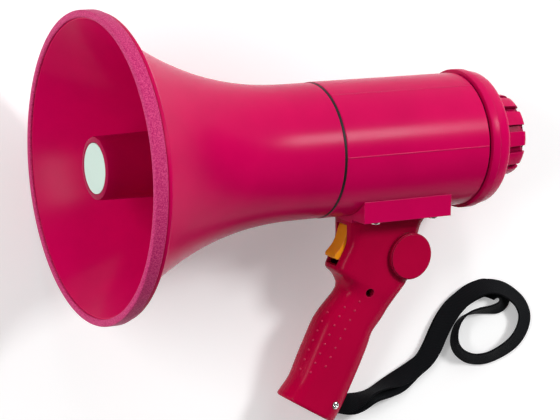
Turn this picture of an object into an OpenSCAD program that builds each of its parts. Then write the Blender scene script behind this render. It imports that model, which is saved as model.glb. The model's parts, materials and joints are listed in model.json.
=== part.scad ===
// Handheld megaphone with a pistol grip, lying on its side with its wrist strap on the floor.
// Sizes are in millimetres. Every piece is drawn in the horn's own frame: the horn axis is X,
// the mouth plane is x = 0 and faces -X, and the grip hangs towards -Z. lying() then rolls and
// pitches the finished piece until rim, rear cover and grip end touch the floor z = 0.

/* [Horn] */
// Outside diameter of the rim ring
mouth_d = 210; // [160:1:260]
// Mouth plane to the black seam ring
bell_l = 170; // [150:1:220]
// Step from the outside of the body down to the neck of the bell
neck_drop = 0.4; // [0.2:0.1:2]
// Length of the curved flare
flare_l = 150; // [110:1:160]
// Power of the flare curve
flare_power = 2.17; // [1.6:0.01:3]
// Wall of the bell
bell_wall = 2.4; // [1.6:0.1:4]
// Axial width of the rim ring
rim_w = 9; // [6:0.5:14]
// Height of the bead on the bell behind the rim ring, below the rim ring's outside
bead_drop = 1.6; // [0.5:0.1:3]
// Axial width of that bead
bead_w = 3.8; // [2:0.1:6]

/* [Reflector] */
// Distance of the reflector's front from the mouth plane
cup_setback = 5; // [2:0.5:20]
// Diameter of the reflector at its front
cup_front_d = 42.6; // [30:0.1:60]
// Diameter of the reflector at its open rear end
cup_rear_d = 47; // [36:0.1:66]
// Length of the reflector
cup_l = 95; // [60:1:110]
// Wall of the reflector
cup_wall = 2; // [1.2:0.1:3]
// Diameter of the bare badge disc
badge_d = 34; // [20:0.5:40]
// Thickness of the badge disc
badge_t = 1.2; // [0.8:0.1:2]
// Bore of the tone tube
tube_bore = 19; // [12:0.5:24]
// Wall of the tone tube
tube_wall = 2; // [1.2:0.1:3]
// Thickness of the three fins that carry the reflector
fin_t = 2.2; // [1.4:0.1:4]

/* [Driver] */
// Depth of the driver's seat in front of the seam ring
driver_depth = 23; // [18:0.5:30]
// Wall of the bell's spigot round the driver
spigot_wall = 2.8; // [2:0.1:4]
// Thickness of the throat plate
plate_t = 3; // [2:0.1:5]
// Space round the magnet inside the spigot
magnet_space = 7; // [5:0.5:12]
// Thickness of the magnet ring
magnet_t = 9; // [6:0.5:14]
// Diameter of the diaphragm
diaphragm_d = 50; // [36:1:56]
// Diameter of the voice coil
coil_d = 38; // [28:1:44]

/* [Body] */
// Outside diameter of the cylindrical body
body_d = 96; // [84:0.5:120]
// Seam ring to the rear end of the body
body_l = 119.2; // [110:0.2:160]
// Wall of the body
body_wall = 2.4; // [1.6:0.1:4]
// Axial width of the black seam ring
seam_w = 2; // [1:0.1:4]
// Height of the mould lines along the body
mould_line = 0.25; // [0.1:0.05:0.5]
// Thickness of the bulkhead between driver and batteries
bulkhead_t = 3; // [2:0.1:5]

/* [Rear cover] */
// Height of the skirt's front band over the body
skirt_rise = 2.4; // [1.2:0.1:4]
// Axial length of the skirt
skirt_l = 17.2; // [14:0.1:24]
// Axial width of the skirt's front band
band_l = 6.2; // [4:0.1:9]
// Drop of the skirt's radius from the front band to the rear edge
skirt_drop = 3.2; // [1:0.1:5]
// Outside diameter of the castellated mouthpiece at its base
crown_d = 62.4; // [50:0.1:80]
// Outside diameter of the mouthpiece at its end
crown_end_d = 58.6; // [46:0.1:76]
// Inside diameter of the mouthpiece
crown_bore = 46; // [36:0.5:54]
// Length of the mouthpiece behind the skirt
crown_l = 26.4; // [16:0.2:36]
// Number of teeth round the mouthpiece
crown_teeth = 12; // [8:1:16]
// Width of the gap between two teeth
tooth_gap = 5; // [3:0.1:8]
// Turn of the teeth round the horn axis, in degrees
crown_turn = 11; // [0:1:30]
// Wall left inside the gaps
crown_core = 3.2; // [2:0.1:5]
// Travel of the cover for one turn of its thread
thread_pitch = 4; // [2:0.5:6]

/* [Batteries] */
// Diameter of one cell
cell_d = 26.2; // [20:0.1:30]
// Length of one cell
cell_l = 50; // [40:0.1:52]
// Distance of the cells from the axis
cell_ring_r = 17.5; // [16:0.1:22]

/* [Saddle] */
// Distance of the saddle's front end from the seam ring
saddle_from_seam = 24; // [12:0.5:40]
// Length of the saddle along the body
saddle_l = 72; // [60:0.5:90]
// Width of the saddle across the body
saddle_w = 71; // [60:0.5:84]
// Depth of the saddle's floor under the body
saddle_floor = 2.4; // [2:0.1:6]
// Distance of the saddle screws from the saddle's ends
screw_inset = 12; // [8:0.5:20]
// Distance of the saddle screws from the saddle's sides
screw_edge = 5; // [4.2:0.1:9]
// Step from the saddle's pad up to its ears
ear_rise = 2.4; // [1:0.1:4]
// Diameter of a saddle screw's head
screw_head_d = 7.4; // [5:0.1:10]

/* [Grip] */
// Length of the grip where it meets the saddle
grip_l = 68; // [56:0.5:80]
// Width of the grip across its two halves
grip_w = 32; // [26:0.5:40]
// Wall of the grip halves
grip_wall = 2.4; // [1.8:0.1:3.5]
// Lean of the handle towards the mouth, in degrees
handle_lean = 31; // [20:0.5:40]
// Length of the handle from its waist to its end
handle_l = 79; // [60:1:110]
// Bore of the screw recess in the handle's side
recess_d = 6.4; // [4:0.1:9]

/* [Trigger] */
// Width of the trigger
trigger_w = 13; // [9:0.1:16]
// Swing of the trigger, in degrees
trigger_swing = 9; // [5:0.5:14]
// Diameter of the trigger's pin
pin_d = 4; // [3:0.1:5]

/* [Volume] */
// Diameter of the round cheeks beside the thumbwheel
cheek_d = 34; // [28:0.5:42]
// Height of a cheek over the side of the grip
cheek_rise = 3.6; // [2:0.1:6]
// Diameter of the volume thumbwheel
wheel_d = 36.8; // [30:0.2:44]
// Width of the thumbwheel
wheel_w = 8; // [5:0.5:10]
// Number of ridges round the thumbwheel
wheel_ridges = 36; // [24:1:48]

/* [Strap] */
// Width of the webbing
strap_w = 14; // [8:0.5:20]
// Thickness of the webbing
strap_t = 1.6; // [1:0.1:2.5]

/* [Clearances] */
// Gap between pieces that seat on each other
seat = 0.1; // [0.05:0.01:0.3]
// Gap between pieces that move past each other
clear = 0.4; // [0.3:0.05:0.8]
// Radial gap of a running shaft
run_gap = 0.05; // [0.02:0.01:0.1]

/* [Hidden] */
$fn = 96;

// Radii and stations along the horn axis
mouth_r = mouth_d / 2;
body_r = body_d / 2;
neck_r = body_r - neck_drop;
body_in = body_r - body_wall;
seam_x = bell_l;
body_x = seam_x + seam_w;
body_end = seam_x + body_l;
skirt_r = body_r + skirt_rise;
seal_t = 1;
skirt_x = body_end + seal_t + 2 * seat;
band_end = skirt_x + band_l;
skirt_end = skirt_x + skirt_l;
crown_end = skirt_end + crown_l;
spigot_r = body_in - clear;
spigot_l = 10;
mould_angles = [28, 87, 267];
cover_spigot_l = 12;
rim_lip = 5;
bell_edge = 2;
bell_edge_r = mouth_r - 2.6;
bead_r = mouth_r - bead_drop;

// Flare of the bell: outside radius, and the radial wall that keeps the same thickness
function flare_t(x) = max(0, flare_l - x) / flare_l;
function bell_out(x) = neck_r + (bell_edge_r + 1.6 - neck_r) * pow(flare_t(x), flare_power);
function bell_slope(x) = (bell_out(x) - bell_out(x + 0.5)) / 0.5;
function bell_in(x) = bell_out(x) - bell_wall * sqrt(1 + pow(bell_slope(x), 2));
flare_steps = 22;
function flare_x(i) = bell_edge + (plate_seat - bell_edge) * i / flare_steps;

// Stations of the driver, counted back from the shoulder inside the bell
plate_seat = bell_l - driver_depth;
plate_r = spigot_r - spigot_wall - clear;
plate_x = plate_seat + seat;
plate_back = plate_x + plate_t;
front_x = plate_back + seat;
front_t = 6;
dome_h = 4;
dome_x = front_x + front_t + 0.6;
coil_r = coil_d / 2;
coil_t = 0.6;
coil_gap = 0.5;
magnet_r = plate_r - magnet_space;
magnet_x = front_x + front_t + seat;
magnet_end = magnet_x + magnet_t;
yoke_t = 3.5;
yoke_end = magnet_end + seat + yoke_t;
cap_t = 1.2;

// Reflector and tone tube
tube_in = tube_bore / 2;
tube_out = tube_in + tube_wall;
cup_end = cup_setback + cup_l;
badge_recess = 1.6;
cup_floor = 3;
function cup_out(x) = (cup_front_d + (cup_rear_d - cup_front_d) * (x - cup_setback) / cup_l) / 2;
tube_front = cup_setback + badge_recess + cup_floor + 14;
fin_x = tube_front + 8;
fin_end = cup_end - 10;

// Board, batteries and contacts inside the body
bulkhead_x = max(seam_x + spigot_l, yoke_end + seat + cap_t) + clear;
bulkhead_end = bulkhead_x + bulkhead_t;
standoff_l = 3;
board_r = body_in - 6;
board_x = bulkhead_end + standoff_l;
board_t = 1.6;
standoff_ring = board_r - 5;
tall_part = 4.4;
holder_x = board_x + board_t + tall_part + 0.6;
holder_t = 2;
contact_t = 0.5;
cells_x = holder_x + holder_t + contact_t + 2 * seat;
cells_end = cells_x + 2 * cell_l + seat;
holder_end = cells_end + seat + contact_t + holder_t + seat;
holder_r = spigot_r - 4.6;

// Saddle and grip interface
saddle_x = seam_x + saddle_from_seam;
saddle_mid = saddle_x + saddle_l / 2;
saddle_z = -(body_r + saddle_floor);
screw_y = saddle_w / 2 - screw_edge;
screw_xs = [saddle_x + screw_inset, saddle_x + saddle_l - screw_inset];
screw_shank_r = 1.6;
head_h = 0.27 * screw_head_d;
ear_z = saddle_z + ear_rise;
screw_boss_z = -sqrt(body_in * body_in - screw_y * screw_y) + 2;
grip_x = saddle_mid;
grip_top = saddle_z - seat;

// Grip: front and rear edge in the side view, share of the half width and squareness of the section,
// from the saddle down past the nose. They are drawn for a grip 68 long and scaled by grip_unit.
grip_unit = grip_l / 68;
half_w = grip_w / 2;
housing = [
  [[-33, 0], [35, 0], 1.06, 0.95],
  [[-33, -7], [28.5, -7], 1.01, 0.9],
  [[-33.5, -18], [25, -20], 1, 0.8],
  [[-39, -28.5], [20, -46], 0.99, 0.7],
  [[-42, -35.5], [9, -61], 0.98, 0.45],
  [[-36.5, -41.5], [3, -69], 0.93, 0.15],
  [[-34, -51], [-2.5, -77], 0.91, 0]
];
// Handle: share of its length, reach to the front and to the rear of its leaning line, share of the width
handle = [
  [0.10, -23, 18.5, 0.94],
  [0.24, -24.5, 20.5, 0.97],
  [0.43, -23.3, 22.4, 0.97],
  [0.62, -21.8, 23.9, 0.95],
  [0.80, -20, 25, 0.94],
  [0.93, -21.2, 25, 0.97],
  [0.985, -21.6, 24.4, 0.98],
  [1, -20.2, 22.6, 0.9]
];
waist = grip_unit * [-10, -50];
waist_s = grip_unit * 22;
lean_down = [-sin(handle_lean), -cos(handle_lean)];
lean_back = [cos(handle_lean), -sin(handle_lean)];
function handle_at(s, q) = waist + s * lean_down + q * lean_back;
function handle_row(h) = [handle_at(waist_s + h[0] * handle_l, grip_unit * h[1]),
  handle_at(waist_s + h[0] * handle_l, grip_unit * h[2]), h[3], 0];
stations = concat([for (h = housing) [grip_unit * h[0], grip_unit * h[1], h[2], h[3]]],
  [for (h = handle) handle_row(h)]);
station_last = len(stations) - 1;

// Cross-section of one grip half: share of the way from front to rear, share of the half width.
// The handle is rounded to the front and falls away in a facet to the rear, the housing is square.
section = [[0, 0], [0, 0.14], [0.014, 0.34], [0.048, 0.57], [0.11, 0.78], [0.22, 0.92], [0.4, 0.985],
  [0.58, 1], [0.68, 0.995], [0.73, 0.97], [0.83, 0.87], [0.915, 0.75], [0.965, 0.6], [0.99, 0.4],
  [1, 0.2], [1, 0]];
square = [[0, 0], [0, 0.36], [0.006, 0.56], [0.02, 0.72], [0.05, 0.85], [0.1, 0.94], [0.18, 0.985],
  [0.5, 1], [0.68, 0.998], [0.8, 0.98], [0.89, 0.93], [0.945, 0.84], [0.975, 0.71], [0.992, 0.54],
  [1, 0.34], [1, 0]];

// Smooth curve through a row of values
function at(list, i) = list[max(0, min(len(list) - 1, i))];
function curve(a, b, c, d, t) = 0.5 * ((2 * b) + (c - a) * t + (2 * a - 5 * b + 4 * c - d) * t * t
  + (3 * b - a - 3 * c + d) * t * t * t);
function between(list, i, t) = curve(at(list, i - 1), at(list, i), at(list, i + 1), at(list, i + 2), t);

// Trigger, its pin and the talk switch, counted from the saddle's underside
pin_x = grip_x - 23 * grip_unit;
pin_z = grip_top - 8.5 * grip_unit;
pin_r = pin_d / 2;
slot_half = trigger_w / 2 + clear;
slot_top = grip_top - 4 * grip_unit;
slot_low = grip_top - 33 * grip_unit;
plunger_r = 1.5;
plunger_z = grip_top - 20.5 * grip_unit;
trigger_back = 3 * grip_unit;
plunger_x = pin_x + trigger_back + clear;
switch_x = plunger_x + 3.8;
switch_l = 8;
switch_h = 20;
switch_half = 5;
plunger_arm = pin_z - plunger_z + 0.5;

// Volume wheel between the two cheeks
wheel_x = grip_x + 14.5 * grip_unit;
wheel_z = grip_top - 29 * grip_unit;
wheel_r = wheel_d / 2;
cheek_r = cheek_d / 2;
cheek_y = half_w + cheek_rise;
cheek_in = wheel_w / 2 + clear;
shaft_r = 3;
pot_r = 8;
pot_l = 7;

// Screw places on the side of the grip
recess_at = [grip_x - 17 * grip_unit, grip_top - 53.5 * grip_unit];
strap_s = waist_s + handle_l - 12;
strap_screw_at = handle_at(strap_s, 15 * grip_unit) + [grip_x, grip_top];
strap_pocket = 2 * strap_t + 2;
strap_head_r = 2.9;
strap_head_y = half_w * 0.82;
recess_floor = 2.5;
recess_grip = 9;
pin_half = 10;
shaft_left = cheek_in + 4;
pot_y = cheek_in + 0.2;
bolt_x = grip_x + 10;
bolt_y = 9;
bolt_seat = saddle_z + 1.2;

// How the part lies: pitch from rim and skirt, roll until the end of the grip touches
rim_foot_x = rim_w - 0.8;
skirt_foot_x = band_end;
rest_pitch = atan((mouth_r - skirt_r) / (skirt_foot_x - rim_foot_x));
rest_h = mouth_r * cos(rest_pitch) + rim_foot_x * sin(rest_pitch);
function reach(p) = (rest_h - p[0] * sin(rest_pitch)) / cos(rest_pitch);
function touch(p) = asin(reach(p) / norm([p[1], p[2]])) - atan2(p[1], -p[2]);
function grip_point(row, uv) = [grip_x + row[0][0] + (row[1][0] - row[0][0]) * uv[0],
  row[2] * half_w * uv[1], grip_top + row[0][1] + (row[1][1] - row[0][1]) * uv[0]];
end_rows = [for (i = [station_last - 4:station_last]) stations[i]];
rest_roll = min([for (row = end_rows, uv = section) touch(grip_point(row, uv))]) - 0.1;
rest_at = [-156.7, 43.35];
function pitched(p) = [p[0] * cos(rest_pitch) + p[2] * sin(rest_pitch), p[1],
  p[2] * cos(rest_pitch) - p[0] * sin(rest_pitch)];
function rolled(p) = [p[0], p[1] * sin(rest_roll) + p[2] * cos(rest_roll),
  p[2] * sin(rest_roll) - p[1] * cos(rest_roll)];
function lie(p) = pitched(rolled(p)) + [rest_at[0], rest_at[1], rest_h];

// Route of the strap: x, y, z, twist. It leaves the grip's end, runs round a loop on the floor, rolls
// over at the hook inside the loop and comes back to the grip under its own first stretch.
function strap_at(q, drop, y) = let (p = handle_at(strap_s - drop, q))
  lie([grip_x + p[0], y, grip_top + p[1]]);
strap_run = strap_at(1, 0, 0) - strap_at(0, 0, 0);
strap_level = cross(strap_run, [0, 0, 1]) / norm(cross(strap_run, [0, 0, 1]));
strap_face = lie([0, -1, 0]) - lie([0, 0, 0]);
strap_tilt = atan2(-strap_face * strap_level, strap_face * cross(strap_level, strap_run));
strap_lay = strap_t / 2 + 0.3;
strap_exit = strap_at(26, 2, 0);
strap_ends = [[9, 0], [17, 0.3], [26, 2]];
strap_out = [for (e = strap_ends) concat(strap_at(e[0], e[1], -strap_lay), strap_tilt)];
strap_back = [for (i = [2:-1:0])
  concat(strap_at(strap_ends[i][0], strap_ends[i][1], strap_lay), 180 - strap_tilt)];
strap_floor = [
  [36, -137, 12.2, 4], [44, -135, 10.8, 46], [54.5, -131.5, 9, 74], [66.5, -127.5, 8.2, 60],
  [79, -124, 7.2, 30], [90, -119.5, 6.6, 8], [100.5, -113.5, 6.4, 4], [108, -105.5, 6.4, 6],
  [114.5, -95.5, 6.5, 8], [121, -86.5, 6.6, 12], [128.5, -78.5, 6.8, 18], [138, -71.5, 7, 24],
  [148, -67, 7.4, 30], [159, -66, 7.6, 35], [169.5, -69, 7.2, 34], [177.5, -75, 6.6, 32],
  [183, -82, 6, 30], [185, -91, 5.6, 29], [181.5, -100.5, 5.6, 32], [173.5, -109, 6, 38],
  [162, -115, 6.5, 46], [149, -118.5, 7, 54], [137, -117.5, 7.4, 64], [129, -112.5, 7.6, 76],
  [125.5, -106, 7.7, 86], [126, -98.5, 7.7, 92], [130, -90.5, 7.7, 96], [137, -85, 7.7, 98],
  [146, -83, 7.6, 102], [157, -83, 7.2, 112], [165, -82, 6.2, 130], [169.5, -78, 4.4, 152],
  [169.5, -73.5, 2.6, 168], [165, -69.5, 1.5, 178], [157, -66.5, 1.4, 180], [148, -68.5, 1.4, 180],
  [138, -73, 1.4, 180], [129, -78.5, 1.4, 180], [121, -86.5, 1.4, 180], [114.5, -95.5, 1.4, 180],
  [108, -105.5, 1.4, 180], [101, -114, 1.4, 180], [91, -121, 1.4, 180], [81, -127.5, 2.8, 166],
  [68.5, -133, 6.2, 128], [56, -137, 7.6, 106], [45, -139.5, 8.2, 134], [36.5, -139, 8.4, 176]
];
strap_route = concat(strap_out, strap_floor, strap_back);
strap_rings = 80;

module lying() {
  translate([rest_at[0], rest_at[1], rest_h])
    rotate([rest_roll - 90, rest_pitch, 0])
      children();
}

// A profile of [radius, station] pairs turned round the horn axis
module turned(profile) {
  rotate([0, 90, 0])
    rotate_extrude()
      polygon(profile);
}

module along_x(x0, x1, r) {
  translate([x0, 0, 0])
    rotate([0, 90, 0])
      cylinder(h = x1 - x0, r = r);
}

module along_y(x, z, y0, y1, r) {
  translate([x, y0, z])
    rotate([-90, 0, 0])
      cylinder(h = y1 - y0, r = r);
}

module ring_x(x0, x1, r_out, r_in) {
  difference() {
    along_x(x0, x1, r_out);
    along_x(x0 - 1, x1 + 1, r_in);
  }
}

// Flared shell with the bead behind the rim, the shoulder for the throat plate and the rear spigot
module bell() {
  shoulder = plate_r - 3;
  spigot_in = plate_r + 0.4;
  outer = [for (i = [flare_steps:-1:2]) [bell_out(flare_x(i)), flare_x(i)]];
  inner = [for (i = [0:flare_steps - 1]) [bell_in(flare_x(i)), flare_x(i)]];
  bead_x = rim_w + 0.3;
  bead_end = bead_x + bead_w;
  color([0.78, 0.03, 0.2])
    turned(concat(
      inner,
      [[shoulder, plate_seat - 4], [shoulder, plate_seat], [spigot_in, plate_seat]],
      [[spigot_in, seam_x + spigot_l], [spigot_r, seam_x + spigot_l], [spigot_r, seam_x], [neck_r, seam_x]],
      [for (p = outer) if (p[1] > bead_end + 2) p],
      [[bell_out(bead_end + 1), bead_end + 1], [bead_r - 1.2, bead_end], [bead_r, bead_end - 1]],
      [[bead_r, bead_x + 0.5], [bead_r - 0.5, bead_x], [bell_out(bead_x), bead_x]],
      [[bell_out(bell_edge), bell_edge]]
    ));
}

// Rough-textured edging pushed over the edge of the bell
module rim_ring() {
  gap = seat;
  color([0.74, 0.03, 0.18])
    turned([
      [mouth_r - rim_lip, 0.7], [mouth_r - rim_lip + 1, 0], [mouth_r - 1.2, 0], [mouth_r - 0.3, 0.4],
      [mouth_r, 1.2], [mouth_r, rim_w - 0.8], [mouth_r - 0.8, rim_w],
      [bell_out(rim_w) + gap, rim_w], [bell_out(bell_edge) + gap, bell_edge],
      [bell_out(bell_edge) + gap, bell_edge - gap], [mouth_r - rim_lip, bell_edge - gap]
    ]);
}

// Closed plug in the mouth that turns the sound back, tapered, with a recess for the badge
module reflector_cup() {
  x0 = cup_setback;
  rim = cup_front_d / 2;
  face = x0 + badge_recess;
  badge_r = badge_d / 2 + seat;
  color([0.7, 0.02, 0.16])
    turned([
      [0, face], [badge_r, face], [badge_r, x0 + 0.8], [badge_r + 0.8, x0], [rim - 1.8, x0],
      [rim - 0.5, x0 + 0.6], [rim, x0 + 2], [cup_out(cup_end), cup_end - 0.6],
      [cup_out(cup_end) - cup_wall / 2, cup_end], [cup_out(cup_end) - cup_wall, cup_end - 0.6],
      [cup_out(face + 12) - cup_wall, face + 12], [cup_out(face) - cup_wall - 3, face + cup_floor + 2],
      [cup_out(face) - cup_wall - 8, face + cup_floor], [0, face + cup_floor]
    ]);
}

module badge_disc() {
  face = cup_setback + badge_recess - seat / 2;
  color([0.86, 0.93, 0.9])
    along_x(face - badge_t, face, badge_d / 2);
}

// Tube from the driver into the reflector, with three fins that the reflector is pushed onto
module tone_tube() {
  foot_r = tube_out + 8;
  foot = plate_x - seat;
  fin_front = cup_out(fin_x) - cup_wall - seat;
  fin_back = cup_out(fin_end) - cup_wall - seat;
  color([0.2, 0.2, 0.22])
    difference() {
      union() {
        turned([
          [tube_in, tube_front], [tube_out - 0.8, tube_front], [tube_out, tube_front + 4],
          [tube_out + 1.5, foot - 14], [foot_r - 3, foot - 3], [foot_r, foot - 2.4], [foot_r, foot],
          [tube_in, foot]
        ]);
        for (a = [0:120:240])
          rotate([a, 0, 0])
            translate([0, fin_t / 2, 0])
              rotate([90, 0, 0])
                linear_extrude(height = fin_t)
                  polygon([[fin_x, tube_out - 1], [fin_x, fin_front], [fin_end, fin_back],
                    [fin_end + 8, tube_out - 1]]);
      }
      along_x(tube_front - 1, foot + 1, tube_in);
    }
}

// Plate that closes the rear of the bell and carries the driver
module throat_plate() {
  color([0.24, 0.24, 0.26])
    ring_x(plate_x, plate_back, plate_r, tube_in);
}

// Front plate of the driver with the throat and the cone over the diaphragm
module driver_front() {
  color([0.55, 0.56, 0.58])
    turned([
      [tube_in, front_x], [magnet_r, front_x], [magnet_r, front_x + front_t],
      [diaphragm_d / 2 + 1, front_x + front_t], [diaphragm_d / 2 + 1, front_x + front_t - 2.2],
      [tube_in + 2, front_x + 1.6]
    ]);
}

// Domed diaphragm clamped at its flat rim
module diaphragm() {
  r = diaphragm_d / 2;
  x1 = front_x + front_t - 0.4;
  t = 0.5;
  color([0.85, 0.75, 0.5])
    turned([
      [0, x1 - dome_h + 2.6], [coil_r * 0.5, x1 - dome_h + 3], [coil_r, x1 - t], [r, x1 - t], [r, x1],
      [coil_r - 0.3, x1], [coil_r * 0.5 - 0.1, x1 - dome_h + 3.5], [0, x1 - dome_h + 3.1]
    ]);
}

module voice_coil() {
  x0 = front_x + front_t - 0.4;
  color([0.72, 0.42, 0.2])
    ring_x(x0 + 0.05, x0 + 6, coil_r, coil_r - coil_t);
}

module driver_magnet() {
  color([0.16, 0.16, 0.17])
    ring_x(magnet_x, magnet_end, magnet_r, coil_r + coil_gap);
}

// Yoke: back plate with the pole piece inside the voice coil
module driver_yoke() {
  pole_r = coil_r - coil_t - coil_gap;
  x0 = magnet_end + seat;
  color([0.6, 0.6, 0.62])
    turned([
      [0, magnet_x + 1.4], [pole_r - 1, magnet_x + 1.4], [pole_r, magnet_x + 2.2], [pole_r, x0],
      [magnet_r, x0], [magnet_r, yoke_end], [0, yoke_end]
    ]);
}

// Pressed cap over the magnet, hooked on the throat plate
module driver_cap() {
  r = magnet_r + seat;
  color([0.3, 0.3, 0.32])
    turned([
      [0, yoke_end + seat], [r, yoke_end + seat], [r, plate_back + seat], [r + 2.4, plate_back + seat],
      [r + 2.4, plate_back + seat + cap_t], [r + cap_t, plate_back + seat + cap_t],
      [r + cap_t, yoke_end + seat + cap_t], [0, yoke_end + seat + cap_t]
    ]);
}

module seam_gasket() {
  color([0.03, 0.03, 0.03])
    ring_x(seam_x + seat, body_x - seat, neck_r + 0.1, spigot_r + seat);
}

// Cylinder of the body with its mould lines, bulkhead, board standoffs, battery rails and screw bosses
module rear_body() {
  color([0.78, 0.03, 0.2])
    difference() {
      union() {
        turned([
          [body_in, body_x], [body_r - 0.3, body_x], [body_r, body_x + 0.4], [body_r, body_end - 0.6],
          [body_r - 0.6, body_end], [body_in, body_end]
        ]);
        for (a = mould_angles)
          rotate([a, 0, 0])
            translate([body_x + 0.4, -mould_line, body_r - 0.5])
              cube([body_end - body_x - 1, 2 * mould_line, 0.5 + mould_line]);
        along_x(bulkhead_x, bulkhead_end, body_in + 0.5);
        for (a = [60:120:300])
          rotate([a, 0, 0])
            translate([bulkhead_end - 0.5, 0, standoff_ring])
              rotate([0, 90, 0])
                cylinder(h = standoff_l + 0.5 - seat, r = 3);
        for (a = [45:90:315])
          rotate([a, 0, 0])
            translate([bulkhead_end - 0.5, -2, holder_r + seat])
              cube([body_end - cover_spigot_l - 1 - bulkhead_end, 4, body_in - holder_r]);
        for (x = screw_xs, y = [-screw_y, screw_y])
          intersection() {
            translate([x, y, -body_r])
              cylinder(h = body_r + screw_boss_z, r = 4);
            along_x(body_x, body_end, body_in + 0.5);
          }
      }
      for (x = screw_xs, y = [-screw_y, screw_y])
        translate([x, y, saddle_z - 1])
          cylinder(h = body_r, r = screw_shank_r + seat);
      translate([saddle_mid, 0, -body_r - 1])
        cylinder(h = body_wall + 4, r = 5);
      translate([bulkhead_x - 1, 0, body_in - 8])
        rotate([0, 90, 0])
          cylinder(h = bulkhead_t + 2, r = 3);
    }
}

module amplifier_board() {
  color([0.1, 0.4, 0.22])
    difference() {
      along_x(board_x, board_x + board_t, board_r);
      translate([board_x - 1, -6, -board_r - 1])
        cube([board_t + 2, 12, 5]);
    }
}

// Capacitors, output transistors and their heat sink on the board's rear face
module board_parts() {
  x0 = board_x + board_t + seat;
  h = tall_part;
  b = board_r / 40;
  color([0.12, 0.12, 0.14]) {
    for (y = [-20, -8, 8, 20])
      translate([x0, b * y, -14 * b])
        rotate([0, 90, 0])
          cylinder(h = h, r = 4 * b);
    for (y = [-16, 6])
      translate([x0, b * y, 12 * b])
        cube([h - 1, 10 * b, 4 * b]);
    translate([x0, -20 * b, 20 * b])
      cube([h, 40 * b, 3 * b]);
    translate([x0, -9 * b, -2 * b])
      cube([h - 1.5, 18 * b, 7 * b]);
  }
}

// Cradle for the cells: two end plates, a spine and three ribs
module battery_holder() {
  color([0.09, 0.09, 0.1])
    difference() {
      union() {
        along_x(holder_x, holder_x + holder_t, holder_r);
        along_x(holder_end - holder_t, holder_end, holder_r);
        along_x(holder_x, holder_end, cell_ring_r - cell_d / 2 - 0.3);
        for (a = [60:120:300])
          rotate([a, 0, 0])
            translate([holder_x, 0, holder_r - 4])
              rotate([0, 90, 0])
                cylinder(h = holder_end - holder_x, r = 3.5);
      }
      for (a = [0:120:240])
        rotate([a, 0, 0])
          translate([holder_x - 1, 0, holder_r])
            rotate([0, 90, 0])
              cylinder(h = holder_end - holder_x + 2, r = 7);
    }
}

module battery_cells() {
  nub = 1.4;
  color([0.75, 0.62, 0.2])
    for (a = [0:120:240], i = [0, 1])
      rotate([a, 0, 0])
        translate([cells_x + i * (cell_l + seat), 0, cell_ring_r])
          rotate([0, 90, 0]) {
            cylinder(h = cell_l - nub, r = cell_d / 2);
            translate([0, 0, cell_l - nub - 0.5])
              cylinder(h = nub + 0.5, r = 3.2);
          }
}

// Flat spring plates at the two ends of each pair of cells
module battery_contacts() {
  color([0.8, 0.8, 0.82])
    for (a = [0:120:240], x = [holder_x + holder_t + seat, holder_end - holder_t - seat - contact_t])
      rotate([a, 0, 0])
        translate([x, 0, cell_ring_r])
          rotate([0, 90, 0])
            cylinder(h = contact_t, r = 8);
}

// Soft ring in the groove between the body and the cover's skirt
module cover_seal() {
  color([0.05, 0.05, 0.05])
    ring_x(body_end + seat, skirt_x - seat, body_r - 1.4, spigot_r + seat);
}

// Unscrewing cover with the castellated mouthpiece
module rear_cover() {
  wall_x = skirt_end - 4;
  floor_x = skirt_end + 2.6;
  spigot_in = spigot_r - 2.2;
  crown_r = crown_d / 2;
  end_r = crown_end_d / 2;
  bore_r = crown_bore / 2;
  core_r = bore_r + crown_core;
  core_end = crown_end - 2.6;
  gap_x = skirt_end + 6;
  edge_r = skirt_r - skirt_drop;
  color([0.76, 0.03, 0.19])
    difference() {
      turned([
        [3, wall_x], [spigot_in, wall_x], [spigot_in, body_end - cover_spigot_l],
        [spigot_r, body_end - cover_spigot_l],
        [spigot_r, skirt_x], [skirt_r - 0.8, skirt_x], [skirt_r - 0.25, skirt_x + 0.25],
        [skirt_r, skirt_x + 0.8], [skirt_r, band_end], [skirt_r - 0.7, band_end + 0.5],
        [skirt_r - 0.9, band_end + 2.6], [edge_r + 0.9, skirt_end - 2.2], [edge_r, skirt_end - 0.9],
        [edge_r - 1.2, skirt_end - 0.1], [edge_r - 2.4, skirt_end], [crown_r + 3, skirt_end + 0.8],
        [crown_r + 0.6, skirt_end + 2],
        [crown_r, skirt_end + 4], [end_r + 0.4, crown_end - 3], [end_r - 0.2, crown_end - 1.2],
        [end_r - 1.4, crown_end], [core_r + 0.6, crown_end], [core_r, crown_end - 0.8],
        [core_r, core_end], [bore_r + 1.2, core_end], [bore_r, core_end - 1.2], [bore_r, floor_x],
        [3, floor_x]
      ]);
      for (i = [0:crown_teeth - 1])
        rotate([i * 360 / crown_teeth + crown_turn, 0, 0])
          translate([gap_x, -tooth_gap / 2, core_r])
            cube([crown_l, tooth_gap, crown_r]);
    }
}

module mic_boot() {
  x0 = skirt_end + 2.6 + seat;
  color([0.07, 0.07, 0.07])
    ring_x(x0, x0 + 6.4, 16, 12.2);
}

module mic_capsule() {
  x0 = skirt_end + 2.6 + seat;
  color([0.5, 0.5, 0.52])
    along_x(x0, x0 + 6, 12.1);
}

// Perforated plate in front of the microphone, resting on its boot
module mic_grille() {
  x0 = skirt_end + 2.6 + seat + 6.4 + seat;
  color([0.1, 0.1, 0.1])
    difference() {
      along_x(x0, x0 + 2, crown_bore / 2 - seat);
      for (k = [1, 2], i = [0:6 * k - 1])
        rotate([i * 60 / k, 0, 0])
          translate([x0 - 1, 0, 7.5 * k])
            rotate([0, 90, 0])
              cylinder(h = 4, r = 1.5);
      along_x(x0 - 1, x0 + 3, 1.5);
    }
}

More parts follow.
